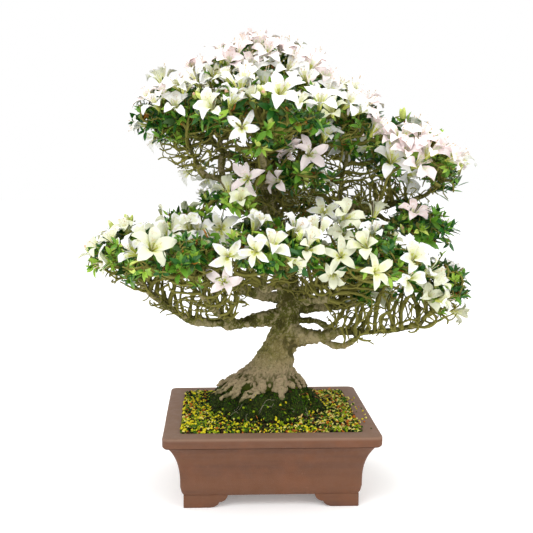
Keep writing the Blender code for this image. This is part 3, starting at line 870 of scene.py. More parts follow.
@dataclass
class Wood:
    """The trunk, its roots and the boughs under one skin of bark."""

    voxel: float = 0.00155
    split: float = 0.262           # the height at which the skin is parted into two pieces
    slimness: float = 0.82         # of the boughs, before the bark's lumps
    wander: float = 0.0045         # how far a bough strays from its smooth line
    flare: tuple[tuple[float, float], ...] = (   # the spread of the trunk's foot at each height
        (0.140, 0.0540), (0.148, 0.0495), (0.154, 0.0420), (0.165, 0.0265), (0.174, 0.0180), (0.186, 0.0110),
        (0.199, 0.0080), (0.215, 0.0045), (0.235, 0.0010), (0.250, 0.0))
    flare_front: float = 0.52      # the spread to the front and the back against the sides
    root_steps: int = 16
    root_top: float = 0.182        # the height below which the skin between the roots is mossy and in painted shade, and the roots in painted highlight
    lump: float = 0.0042
    knot: float = 0.0080
    furrow: float = 0.0032
    trunk_lumps: float = 0.24      # the trunk's lumps against the boughs'
    trunk_reach: float = 0.40      # the height up to which the trunk's skin is its own
    stout: float = 0.014           # the radius at which the bark is at its roughest

    def __post_init__(self) -> None:
        """Lays the trunk's fine centre line."""
        self.core = TRUNK.line(12)

    def spread(self, height: float, heading: float) -> float:
        """How far the trunk's foot spreads at a height, on the side that a heading points to."""
        side = (1.0 + self.flare_front) / 2 + (1.0 - self.flare_front) / 2 * math.cos(2 * heading)
        return float(np.interp(height, *zip(*self.flare))) * side * (0.92 - 0.08 * math.cos(heading))

    def trunk_mesh(self) -> Mesh:
        """A tube along the trunk with a spread foot."""
        mesh = tubes("trunk_core", [TRUNK.strand(12)], 20)
        for vert in mesh.vertices:
            centre = min(self.core, key=lambda point: (point - vert.co).length_squared)
            outward = Vector((vert.co.x - centre.x, vert.co.y - centre.y, 0.0))
            if outward.length > 0.002:
                heading = math.atan2(outward.y, outward.x)
                uneven = (0.90 + 0.05 * math.cos(heading * 3.0 + vert.co.z * 30.0)
                          + 0.04 * math.cos(heading * 7.0))
                vert.co += outward.normalized() * self.spread(vert.co.z, heading) * uneven
        return mesh

    def root_strand(self, root: Root, number: int) -> Strand:
        """A root's centre line, down the flare and on into the moss; its number settles its bends."""
        points, radii = [], []
        for index in range(self.root_steps):
            share = index / (self.root_steps - 1)
            height = root.top + (root.foot - root.top) * share ** 0.85
            centre = min(self.core, key=lambda point: abs(point.z - height))
            sway = 0.17 * noise.noise(Vector((share * 2.6, number * 4.3, 0.0)))
            heading = math.radians(root.heading) + sway
            way = Vector((math.cos(heading), math.sin(heading), 0.0))
            girth = root.girth * (0.50 + 0.55 * math.sin(math.pi * share))
            skin = TRUNK.radius(0.0) + self.spread(height, heading)
            away = skin + root.stand * share ** 1.6 - root.sunk() * girth
            spot = Vector((centre.x, centre.y, height)) + way * away
            points.append(spot + noise.noise_vector(spot * 45.0) * 0.0030)
            radii.append(girth * (1.0 + 0.3 * noise.noise(spot * 80.0)))
        return Strand(points, radii)

    def bough_strand(self, bough: Limb, number: int) -> Strand:
        """A bough's centre line, a little crooked and knobbly; its number settles how."""
        plain = bough.strand(7)
        points, radii = [], []
        for index, (point, radius) in enumerate(zip(plain.points, plain.radii)):
            share = index / (len(plain.points) - 1)
            hold = min(1.0, 5.0 * share, 5.0 * (1.0 - share))
            seed = point * 34.0 + Vector((number * 3.1, 0.0, 0.0))
            points.append(point + noise.noise_vector(seed) * self.wander * hold)
            swollen = 1.0 + 0.3 * noise.noise(point * 48.0 + Vector((0.0, number * 5.0, 0.0)))
            radii.append(radius * self.slimness * swollen)
        return Strand(points, radii)

    def build(self) -> None:
        """Joins the trunk, roots and boughs, remeshes them as one skin and gives it the bark's relief."""
        boughs = [self.bough_strand(bough, number) for number, bough in enumerate(BOUGHS.values())]
        boughs += [joint.strand(5) for joint in JOINTS]
        roots = [self.root_strand(root, number) for number, root in enumerate(ROOTS)]
        cores = [self.trunk_mesh(), tubes("root_core", roots, 4), tubes("bough_core", boughs, 4)]
        item = show("bark", mesh_made_by("bark", lambda shape: [shape.from_mesh(core) for core in cores]))
        modify(item, "REMESH", mode="VOXEL", voxel_size=self.voxel)
        modify(item, "SMOOTH", factor=0.5, iterations=2)
        skin = baked(item)
        self.roughen(skin, boughs)
        for name, above, nodes in (("trunk_bark", False, ["trunk"]), ("bough_bark", True, list(BOUGHS))):
            def part(shape: BMesh) -> None:
                """Keeps the skin on one side of the split."""
                shape.from_mesh(skin)
                gone = [face for face in shape.faces
                        if (face.calc_center_median().z > self.split) is not above]
                bmesh.ops.delete(shape, geom=gone, context="FACES")
            dress(show(name, mesh_made_by(name, part)), [BARK], nodes)

    def stand_out(self, point: Vector) -> float:
        """How far a point of the foot stands out: below 0 between the roots, above 0 on them."""
        centre = min(self.core, key=lambda spot: abs(spot.z - point.z))
        outward = Vector((point.x - centre.x, point.y - centre.y, 0.0))
        skin = TRUNK.radius(0.0) + self.spread(point.z, math.atan2(outward.y, outward.x))
        return max(-0.35, min(0.20, (outward.length - skin - 0.0015) / 0.006))

    def roughen(self, skin: Mesh, boughs: Sequence[Strand]) -> None:
        """Moves the skin's points into lumps, knots and furrows, and notes the relief, which gives the finish
        its painted highlight on crests and painted shade in hollows.

        Args:
            skin: the remeshed skin.
            boughs: the boughs' centre lines; the thinner they are, the less their skin moves.
        """
        lines = [(point, radius) for bough in boughs for point, radius in zip(bough.points, bough.radii)]
        thin = len(lines)
        lines += [(point, TRUNK.radius(0.0)) for point in self.core if point.z < self.trunk_reach]
        tree = tree_of([point for point, _ in lines])
        count = len(skin.vertices)
        places, normals = np.empty(count * 3), np.empty(count * 3, np.float32)
        skin.vertices.foreach_get("co", places)
        skin.vertex_normals.foreach_get("vector", normals)
        places, normals = places.reshape(-1, 3), normals.reshape(-1, 3)
        shift, scale, bulge = np.empty(count), np.empty(count), np.zeros(count)
        for index, place in enumerate(places):
            point = Vector(place)
            lump = noise.noise(point * 62.0) + 0.8 * noise.noise(point * 30.0)
            knot = max(0.0, noise.noise(point * 120.0 + Vector((7.0, 3.0, 1.0))) - 0.15)
            furrow = abs(noise.noise(Vector((point.x, point.y, point.z * 0.6)) * 190.0)) - 0.15
            nearest = tree.find(point)[1]
            lumps = 1.0 if nearest < thin else self.trunk_lumps
            shift[index] = (self.lump * lump + self.knot * knot) * lumps + self.furrow * furrow
            scale[index] = 0.16 + 0.84 * min(1.0, lines[nearest][1] / self.stout)
            if point.z < self.root_top:
                bulge[index] = self.stand_out(point) * min(1.0, (self.root_top - point.z) / 0.030)
        places += normals * (shift * scale)[:, None]
        skin.vertices.foreach_set("co", places.ravel())
        # the relief is high on crests and roots and low in furrows and between roots; the finish turns it
        # into painted highlight and painted shade
        raised = np.clip((shift - shift.mean()) / (4.0 * shift.std()) + 0.5 + bulge, 0.0, 1.0)
        relief = skin.attributes.new("relief", "FLOAT", "POINT")
        relief.data.foreach_set("value", raised.astype(np.float32))


# ---- Crown ---------------------------------------------------------------------------------------
class Pad:
    """One mass of the crown: the skin that leaves and blossom lie under."""

    def __init__(self, name: str) -> None:
        """Takes the frame's node of that name."""
        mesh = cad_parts[name].data
        mesh.calc_loop_triangles()
        self.name = name
        self.corners = np.array([[mesh.vertices[index].co for index in face.vertices]
                                 for face in mesh.loop_triangles])
        crossed = np.cross(self.corners[:, 1] - self.corners[:, 0], self.corners[:, 2] - self.corners[:, 0])
        self.areas = np.linalg.norm(crossed, axis=1) / 2
        points = [Vector(corner) for face in self.corners for corner in face]
        self.skin = BVHTree.FromPolygons(points, [(i, i + 1, i + 2) for i in range(0, len(points), 3)])
        self.low = Vector(self.corners.reshape(-1, 3).min(0))
        self.high = Vector(self.corners.reshape(-1, 3).max(0))

    def depth(self, point: Vector) -> float:
        """How deep a point lies inside, below 0 outside."""
        place, normal, _, away = self.skin.find_nearest(point)
        return away if (point - place).dot(normal) < 0 else -away

    def scattered(self, density: float, dice: random.Random) -> list[tuple[Vector, Vector]]:
        """Random places on the skin.

        Args:
            density: how many there are in a square metre.
            dice: the source of chance.

        Returns:
            Each place with the skin's outward direction there.
        """
        found = []
        for face, area in zip(self.corners, self.areas):
            wanted = area * density
            count = int(wanted) + (dice.random() < wanted % 1.0)
            normal = Vector(np.cross(face[1] - face[0], face[2] - face[0])).normalized()
            for _ in range(count):
                first, second = sorted((dice.random(), dice.random()))
                place = face[0] * first + face[1] * (second - first) + face[2] * (1.0 - second)
                found.append((Vector(place), normal))
        return found


@dataclass
class Crown:
    """All the pads together."""

    margin: float = 0.03           # how near a pad's box a place has to be for its depth to count
    first: float = 0.95            # how far from the eye a line of sight that misses is first measured
    stride: float = 0.01           # and by how much further each time
    strides: int = 60

    def __post_init__(self) -> None:
        """Finds the frame's pads."""
        self.pads = [Pad(name) for name in PAD_NAMES]

    def depth(self, point: Vector, besides: Pad | None = None) -> float:
        """How deep a point lies inside the nearest pad, below 0 outside all of them."""
        margin = Vector((self.margin, self.margin, self.margin))
        best = -1.0
        for pad in self.pads:
            if pad is besides:
                continue
            low, high = pad.low - margin, pad.high + margin
            if all(low[axis] < point[axis] < high[axis] for axis in range(3)):
                best = max(best, pad.depth(point))
        return best

    def seen_from(self, start: Vector, direction: Vector) -> tuple[Vector, Vector]:
        """Where a line of sight first meets the crown, or passes it most closely.

        Args:
            start: the eye.
            direction: the way it looks.

        Returns:
            The place on a pad's skin, and the skin's outward direction there.
        """
        hits = [pad.skin.ray_cast(start, direction) for pad in self.pads]
        hits = [hit for hit in hits if hit[0] is not None]
        if hits:
            place, normal, _, _ = min(hits, key=lambda hit: hit[3])
            return place, normal
        nearest = []
        for step in range(self.strides):
            point = start + direction * (self.first + self.stride * step)
            for pad in self.pads:
                place, normal, _, away = pad.skin.find_nearest(point)
                nearest.append((away, tuple(point), tuple(normal)))
        _, point, normal = min(nearest)
        return Vector(point), Vector(normal)


class Kind(Enum):
    """What a twig's tip carries."""

    LEAVES = "leaves"
    BLOSSOM = "blossom"
    BUD = "bud"
    BARE = "bare"


@dataclass
class Tip:
    """A place that a twig grows to, and what it carries there."""

    place: Vector
    facing: Vector
    kind: Kind
    light: bool | None = None      # of leaves: light or dark; if not given, it is left to chance
    node: int = -1
    heading: Vector = field(default_factory=lambda: UP.copy())


DRY_HEIGHT = 0.38                  # where straight mossy twigs give way to dry winding ones


@dataclass
class TwigNet:
    """Twigs that grow step by step from the boughs, each drawn to the tips nearest to it."""

    step: float = 0.0066
    reach: float = 0.070
    touch: float = 0.0082
    brush: float = 0.0052          # how near a twig comes to a bare tip
    hold: float = 0.50             # how much a twig keeps its own heading
    rise: float = 0.22
    dry_rise: float = 0.3          # the upper tiers' share of it
    spread: float = 0.32           # how much it leans away from the trunk in the lowest tier
    stray: float = 0.55            # how crooked it is from step to step
    bend: float = 0.90             # how it curves over a longer way
    curl: float = 1.1              # how it winds in the upper tiers
    apart: float = 0.55            # how many steps apart the shoots of one node stand
    bow: float = 0.35              # how its last stretch bends, against its length
    spurs: float = 0.55            # the chance that a dead end's last step stays
    spur_load: float = 0.6         # its girth's load, where a tip's is 1
    knobs: float = 0.45            # how uneven a twig's girth is
    trunk_low: float = 0.31        # the height from which the trunk carries twigs
    tip_radius: float = 0.00100
    swelling: float = 2.00         # areas add up with this power where twigs meet
    most_radius: float = 0.0026
    mossy_girth: float = 1.45
    dry_girth: float = 1.15
    rounds: int = 110
    patience: int = 4              # rounds after which a tip that is no closer is given up
    seed: int = 4
    nodes: list[Vector] = field(default_factory=list)
    parents: list[int] = field(default_factory=list)
    shoots: dict[int, list[Vector]] = field(default_factory=dict)
    gone: set[int] = field(default_factory=set)
    rooted: int = 0

    def plant(self) -> None:
        """Starts from points along the boughs and the upper trunk."""
        lines = [bough.line(3) for bough in BOUGHS.values()]
        lines.append([point for point in TRUNK.line(3) if point.z > self.trunk_low])
        for line in lines:
            for point in line[1:]:
                self.nodes.append(point)
                self.parents.append(-1)
        self.rooted = len(self.nodes)

    def grow(self, tips: list[Tip]) -> None:
        """Grows the net until its twigs touch the tips.

        Args:
            tips: the places to reach; each that carries something is given the node that ends at it,
                and a bare one only draws twigs towards it.
        """
        goals = np.array([tip.place for tip in tips])
        nearest, gaps = self.closest(goals, np.array(self.nodes), 0)
        waiting = np.ones(len(tips), bool)
        idle = np.zeros(len(tips), int)
        near = np.array([self.brush if tip.kind is Kind.BARE else self.touch for tip in tips])
        for _ in range(self.rounds):
            pulling = waiting & (gaps < self.reach)
            if not pulling.any():
                break
            spots = np.array(self.nodes)
            ways = goals[pulling] - spots[nearest[pulling]]
            ways /= np.linalg.norm(ways, axis=1)[:, None] + 1e-9
            pull = np.zeros_like(spots)
            np.add.at(pull, nearest[pulling], ways)
            first = len(self.nodes)
            for node in np.unique(nearest[pulling]):
                self.sprout(int(node), Vector(pull[node]))
            if len(self.nodes) == first:
                break
            found, away = self.closest(goals, np.array(self.nodes[first:]), first)
            closer = away < gaps
            nearest[closer] = found[closer]
            gaps[closer] = away[closer]
            idle = np.where(closer, 0, idle + pulling)
            reached = waiting & ((gaps < near) | (idle > self.patience))
            for index in np.flatnonzero(reached):
                self.end(tips[index], int(nearest[index]))
            waiting &= ~reached
        for index in np.flatnonzero(waiting):
            self.end(tips[index], int(nearest[index]))

    @staticmethod
    def closest(goals: np.ndarray, spots: np.ndarray, first: int) -> tuple[np.ndarray, np.ndarray]:
        """The nearest of some nodes to each goal.

        Args:
            goals: the places, one in each row.
            spots: the nodes' places.
            first: the number of the first of those nodes.

        Returns:
            The nearest node's number and its distance, for each goal.
        """
        squares = (goals ** 2).sum(1)[:, None] + (spots ** 2).sum(1)[None] - 2 * goals @ spots.T
        index = squares.argmin(1)
        return index + first, np.sqrt(np.maximum(squares[np.arange(len(goals)), index], 0.0))

    def sprout(self, node: int, pull: Vector) -> None:
        """Adds the next node of a twig."""
        start = self.nodes[node]
        parent = self.parents[node]
        way = pull.normalized()
        if parent >= 0:
            way += (start - self.nodes[parent]).normalized() * self.hold
        high = start.z > DRY_HEIGHT
        way += UP * (self.rise * (self.dry_rise if high else 1.0))
        if high:
            way += noise.noise_vector(start * 75.0 + Vector((0.0, 0.0, self.seed))) * self.curl
        else:
            way += Vector((start.x - POT_CENTRE.x, start.y - POT_CENTRE.y, 0.0)).normalized() * self.spread
        way += noise.noise_vector(start * 40.0 + Vector((0.0, self.seed, 0.0))) * self.bend
        way += noise.noise_vector(start * 105.0 + Vector((self.seed, 0.0, 0.0))) * self.stray
        spot = start + way.normalized() * self.step
        shoots = self.shoots.setdefault(node, [])
        if all((spot - other).length > self.step * self.apart for other in shoots):
            shoots.append(spot)
            self.nodes.append(spot)
            self.parents.append(node)

    def end(self, tip: Tip, node: int) -> None:
        """Runs a twig's last stretch to a tip that carries something."""
        if tip.kind is Kind.BARE:
            return
        away = (tip.place - self.nodes[node]).length
        count = max(1, round(away / self.step))
        start = self.nodes[node]
        for index in range(1, count + 1):
            share = index / count
            aside = self.bow * away * math.sin(share * math.pi)
            bent = noise.noise_vector(start * 60.0 + UP * (index * 0.6)) * aside
            self.nodes.append(start.lerp(tip.place, share) + bent)
            self.parents.append(node)
            node = len(self.nodes) - 1
        tip.node = node
        tip.heading = (self.nodes[node] - self.nodes[self.parents[node]]).normalized()

    def cut(self, tips: Iterable[Tip], is_open: Callable[[Vector], bool]) -> None:
        """Cuts the twigs off where they would cross an open blossom.

        Args:
            tips: the grown tips; one whose twig is cut carries nothing.
            is_open: whether a place lies in a blossom's funnel.
        """
        for node in range(self.rooted, len(self.nodes)):
            if self.parents[node] in self.gone or is_open(self.nodes[node]):
                self.gone.add(node)
        for tip in tips:
            if tip.node in self.gone and tip.kind is not Kind.BLOSSOM:
                tip.kind = Kind.BARE

    def strands(self, tips: Iterable[Tip], dice: random.Random) -> list[Strand]:
        """The twigs as centre lines with radii, thicker towards the boughs.

        Args:
            tips: the grown tips.
            dice: the source of chance, which settles the short dead ends that stay.

        Returns:
            The centre lines.
        """
        load = [0.0] * len(self.nodes)
        children: list[list[int]] = [[] for _ in self.nodes]
        for tip in tips:
            if tip.node >= 0 and tip.node not in self.gone:
                load[tip.node] = 1.0
        for node in range(len(self.nodes) - 1, self.rooted - 1, -1):
            parent = self.parents[node]
            if node in self.gone:
                continue
            if load[node] == 0.0 and not children[node] and dice.random() > self.spurs:
                continue
            load[node] = load[node] or self.spur_load
            load[parent] += load[node]
            children[parent].append(node)
        spots = list(self.nodes)
        for node in range(self.rooted, len(spots)):
            if children[node]:
                middle = sum((spots[child] for child in children[node]), Vector()) / len(children[node])
                spots[node] = spots[node] * 0.5 + (spots[self.parents[node]] + middle) * 0.25
        radii = []
        for weight, spot in zip(load, spots):
            stout = self.dry_girth if spot.z > DRY_HEIGHT else self.mossy_girth
            radii.append(min(self.tip_radius * weight ** (1 / self.swelling), self.most_radius) * stout)
        strands = []
        starts = [(parent, child) for parent in range(len(spots)) for child in
                  sorted(children[parent], key=lambda item: -load[item])[0 if parent < self.rooted else 1:]]
        for parent, child in starts:
            chain = [parent, child]
            while children[chain[-1]]:
                chain.append(max(children[chain[-1]], key=lambda item: load[item]))
            thick = [radii[node] * (1.0 + self.knobs * noise.noise(spots[node] * 150.0))
                     for node in chain[1:]]
            strands.append(Strand([spots[node] for node in chain], [thick[0] * 1.15, *thick]))
        return strands


TWIG_FINISHES = palette(
    ("twig_olive", (122, 118, 54), 0.85), ("twig_tan", (158, 146, 98), 0.85),
    ("twig_brown", (114, 92, 58), 0.8, 0.25), ("twig_dark", (70, 68, 28), 0.85),
    ("twig_green", (108, 116, 40), 0.8), ("twig_grey", (152, 140, 110), 0.85))
MOSSY_TINTS = (0, 0, 1, 3, 4, 4)
DRY_TINTS = (1, 5, 5, 0, 0, 2)


def build_twigs(net: TwigNet, tips: Sequence[Tip], dice: random.Random) -> None:
    """Models the twigs as joined tubes, in pieces under the limit of triangles.

    Args:
        net: the grown net.
        tips: what it has grown to.
        dice: the source of chance.
    """
    strands = [Strand(each.points, each.radii, dice.choice(
        DRY_TINTS if each.points[0].z > DRY_HEIGHT else MOSSY_TINTS)) for each in net.strands(tips, dice)]
    for number, batch in enumerate(batched(strands, lambda each: len(each.points) * 8 + 4), start=1):
        name = f"twigs_{number}"
        dress(show(name, tubes(name, batch, 0)), TWIG_FINISHES)


# ---- Leaves --------------------------------------------------------------------------------------
@dataclass(frozen=True)
class LeafForm:
    """How a leaf is bent; its sizes are shares of its own length."""

    width: float
    fold: float
    droop: float

    def shape(self) -> Shape:
        """A leaf from its foot at the origin along +Y, its upper face to +Z."""
        def build(mesh: BMesh) -> None:
            """Bends a small grid into the leaf."""
            bmesh.ops.create_grid(mesh, x_segments=2, y_segments=4, size=1.0)
            for vert in mesh.verts:
                along = (vert.co.y + 1.0) / 2
                half = self.width / 2 * max(0.0, math.sin(math.pi * along ** 0.85)) ** 0.8
                lift = self.fold * abs(vert.co.x) * half * 2 - self.droop * along ** 2
                vert.co = Vector((vert.co.x * half, along, lift))
            bmesh.ops.remove_doubles(mesh, verts=mesh.verts, dist=0.0001)
            bmesh.ops.recalc_face_normals(mesh, faces=mesh.faces)
            if sum(face.normal.z for face in mesh.faces) < 0:
                bmesh.ops.reverse_faces(mesh, faces=mesh.faces)
        return Shape.made_by(build)


LEAF_FINISHES = palette(
    ("leaf_deep", (36, 90, 24), 0.38, 0.4), ("leaf_dark", (52, 80, 34), 0.38, 0.45),
    ("leaf_mid", (94, 142, 36), 0.42, 0.4), ("leaf_fresh", (148, 184, 60), 0.45, 0.4),
    ("leaf_lime", (200, 214, 106), 0.5, 0.35), ("leaf_bronze", (138, 84, 26), 0.5, 0.35),
    ("leaf_rust", (184, 116, 42), 0.5, 0.35))
SPRAY_TINTS = [(0, 0, 2), (0, 1, 2), (1, 0, 0), (0, 2, 1), (2, 2, 0), (2, 3, 2), (3, 2, 3), (2, 4, 3)]
SPRAY_SHARES = [17, 14, 9, 12, 16, 16, 12, 10]


@dataclass
class Leaves:
    """Whorls of small glossy leaves round the twigs' tips."""

    is_open: Callable[[Vector], bool]
    length: float = 0.0200
    whorl: int = 7                 # how many leaves a whorl has
    bud_whorl: int = 4             # how many it has round a bud
    shoots: float = 0.30           # the chance that small new leaves grow under a whorl
    seed: int = 21
    forms: tuple[LeafForm, ...] = (LeafForm(0.40, 0.16, 0.08), LeafForm(0.36, 0.30, 0.16),
                                   LeafForm(0.44, 0.10, 0.22), LeafForm(0.33, 0.22, 0.02))

    def __post_init__(self) -> None:
        """Makes the leaves' shapes and starts the joined pieces."""
        self.shapes = [form.shape() for form in self.forms]
        self.scatter = Scatter("leaves", "foliage", LEAF_FINISHES)
        self.dice = random.Random(self.seed)

    def leaf(self, foot: Vector, axis: Vector, around: float, tilt: float, length: float, tint: int) -> None:
        """Adds a leaf.

        Args:
            foot: where it grows from.
            axis: the twig's heading there.
            around: its heading round the twig.
            tilt: the angle between it and the twig.
            length: its length.
            tint: the index of its finish.
        """
        turn = frame_of(axis, around)
        outward = turn @ Vector((0.0, 1.0, 0.0))
        way = (axis * math.cos(tilt) + outward * math.sin(tilt)).normalized()
        if self.is_open(foot + way * length) or self.is_open(foot + way * (length * 0.5)):
            return
        face = (axis * math.sin(tilt) - outward * math.cos(tilt)).normalized()
        across = way.cross(face)
        turn = Matrix((across, way, face)).transposed()
        turn = turn @ Matrix.Rotation(self.dice.gauss(0.0, 0.25), 3, "Y")
        sizes = Vector((length * self.dice.uniform(0.9, 1.15), length, length))
        self.scatter.place(self.dice.choice(self.shapes), placed(foot, turn, sizes), tint)

    def spray(self, tip: Tip) -> None:
        """Adds the whorl at a twig's tip."""
        dice = self.dice
        axis = (tip.heading * 0.8 + tip.facing * 0.9 + UP * 0.5 + random_direction(dice) * 0.45).normalized()
        tints = dice.choices(SPRAY_TINTS, SPRAY_SHARES)[0]
        if tip.light is not None:
            tints = dice.choice(SPRAY_TINTS[4:] if tip.light else SPRAY_TINTS[:4])
        fullness = self.bud_whorl if tip.kind is Kind.BUD else self.whorl
        count = max(3, round(dice.gauss(fullness, 1.2)))
        size = self.length * dice.uniform(0.78, 1.18)
        start = dice.uniform(0.0, math.tau)
        for index in range(count):
            share = index / (count - 1)
            tilt = math.radians(22.0 + 60.0 * share + dice.gauss(0.0, 9.0))
            tint = tints[2] if share < 0.25 else dice.choice(tints)
            foot = tip.place - axis * 0.007 * share
            self.leaf(foot, axis, start + index * GOLDEN_ANGLE, tilt, size * (0.62 + 0.42 * share), tint)
        if dice.random() < self.shoots:
            for index in range(dice.randint(1, 3)):
                self.leaf(tip.place - axis * 0.006, axis, dice.uniform(0.0, math.tau), dice.uniform(0.7, 1.7),
                          size * dice.uniform(0.35, 0.6), dice.choice((5, 5, 6)))

    def build(self) -> None:
        """Joins the leaves, in place of the frame's pads."""
        self.scatter.build(PAD_NAMES)


# ---- Blossom -------------------------------------------------------------------------------------
class Tint(Enum):
    """The colour of a blossom's petals."""

    WHITE = "white"
    CREAM = "cream"
    IVORY = "ivory"
    LIME = "lime"
    BLUSH = "blush"
    SHELL = "shell"


PETAL_FINISHES = palette(
    ("petal_throat", (200, 204, 100)), ("petal_lime", (222, 225, 176)), ("petal_cream", (222, 224, 198)),
    ("petal_white", (231, 231, 227)), ("petal_blush", (240, 227, 226)), ("petal_shell", (238, 218, 216)),
    ("petal_freckle", (222, 188, 158)), ("anther", (206, 176, 134), 0.7), ("filament", (230, 222, 200)),
    ("bud_lime", (200, 212, 112), 0.5, 0.35), ("bud_pink", (222, 178, 146), 0.5, 0.35),
    ("calyx", (112, 138, 44), 0.5, 0.4))
FRECKLE_ZONE = 6
ANTHER, FILAMENT, CALYX = 7, 8, 11
PETAL_TINTS = {
    Tint.WHITE: (0, 1, 3, 3, 3, 3, 6),
    Tint.CREAM: (0, 1, 2, 2, 3, 3, 6),
    Tint.IVORY: (0, 1, 2, 2, 2, 2, 6),
    Tint.LIME: (0, 1, 1, 2, 2, 2, 6),
    Tint.BLUSH: (0, 2, 4, 4, 4, 4, 6),
    Tint.SHELL: (1, 4, 4, 5, 5, 4, 6),
}
BUD_TINTS = ((CALYX, 9, 9), (CALYX, 9, 10), (CALYX, 9, 1))
PETALS = 5
SEPALS = 4


@dataclass(frozen=True)
class PetalForm:
    """A petal of a funnel-shaped blossom, from the tube's foot to its pointed tip, in metres."""

    reach: float
    rise: float
    recurve: float
    width: float
    ruffle: float
    freckles: int = 0

    def line(self, share: float) -> tuple[float, float]:
        """The centre line's distance from the axis and its height, at a share of the length."""
        corners = [(0.0014, 0.0), (0.0042, self.rise * 0.70), (self.reach * 0.42, self.rise * 1.12),
                   (self.reach, self.rise - self.recurve)]
        weights = [(1 - share) ** 3, 3 * share * (1 - share) ** 2, 3 * share ** 2 * (1 - share), share ** 3]
        return (sum(w * corner[0] for w, corner in zip(weights, corners)),
                sum(w * corner[1] for w, corner in zip(weights, corners)))

    def point(self, side: float, share: float) -> Vector:
        """A point of the petal, from its side, -1 to 1, and its share of the length."""
        away, height = self.line(share)
        lobe = max(0.0, 1.0 - max(0.0, (share - 0.66) / 0.345) ** 2) ** 0.54
        half = min(0.74 * away, self.width / 2 * lobe)
        across = side * half
        tube = max(0.0, 1.0 - share / 0.55)
        curl = across ** 2 / (2 * max(away, 0.002)) * (0.35 + 0.65 * tube)
        wave = self.ruffle * math.sin(5.0 + share * 9.0 + side * 1.2) * side * share
        crease = 0.0008 * max(0.0, 1.0 - 2.5 * abs(side)) * math.sin(share * math.pi)
        return Vector((across, away - curl, height + wave - crease + abs(side) * half * 0.22 * (1 - tube)))

    def shape(self, dice: random.Random) -> Shape:
        """The petal, pointing along +Y from the axis +Z, with its freckles."""
        def build(mesh: BMesh) -> None:
            """Bends a grid into the petal, with a zone of colour in each row."""
            bmesh.ops.create_grid(mesh, x_segments=4, y_segments=6, size=1.0)
            for face in mesh.faces:
                place = face.calc_center_median()
                row = int((place.y + 1.0) * 3.0)
                face.material_index = max(0, min(5, row) - (1 if abs(place.x) < 0.5 and row < 5 else 0))
            for vert in mesh.verts:
                vert.co = self.point(vert.co.x, (vert.co.y + 1.0) / 2)
            for _ in range(self.freckles):
                self.freckle(mesh, dice.uniform(-0.55, 0.55), dice.uniform(0.36, 0.80))
        return Shape.made_by(build)

    def freckle(self, mesh: BMesh, side: float, share: float) -> None:
        """Lays a small fleck just over the petal."""
        centre = self.point(side, share)
        along = (self.point(side, share + 0.02) - centre).normalized()
        across = (self.point(side + 0.05, share) - centre).normalized()
        turn = Matrix((across, along, across.cross(along))).transposed()
        made = bmesh.ops.create_circle(mesh, cap_ends=True, segments=5, radius=0.00042,
                                       matrix=placed(centre + across.cross(along) * 0.0003, turn,
                                                     Vector((1.0, 1.7, 1.0))))
        for face in made["verts"][0].link_faces:
            face.material_index = FRECKLE_ZONE


@dataclass(frozen=True)
class BlossomForm:
    """How far a blossom is open."""

    reach: float
    rise: float
    recurve: float
    width: float = 0.0132


class Opening(Enum):
    """How far a blossom is open, from a flat star to a closed funnel."""

    STAR = BlossomForm(0.0278, 0.0160, 0.0045, 0.0122)
    OPEN = BlossomForm(0.0250, 0.0232, 0.0050, 0.0138)
    FUNNEL = BlossomForm(0.0210, 0.0290, 0.0030, 0.0150)
    YOUNG = BlossomForm(0.0105, 0.0310, -0.0030, 0.0120)


@dataclass(frozen=True)
class Bloom:
    """A blossom that has its own place: where the camera sees it, and which way it turns.

    The column and row count from the top left corner of the camera's square frame; yaw turns to the
    right of the frame and pitch turns up, in degrees, from facing the camera.
    """

    column: float
    row: float
    yaw: float
    pitch: float
    tint: Tint = Tint.WHITE
    opening: Opening = Opening.OPEN
    size: float = 1.0


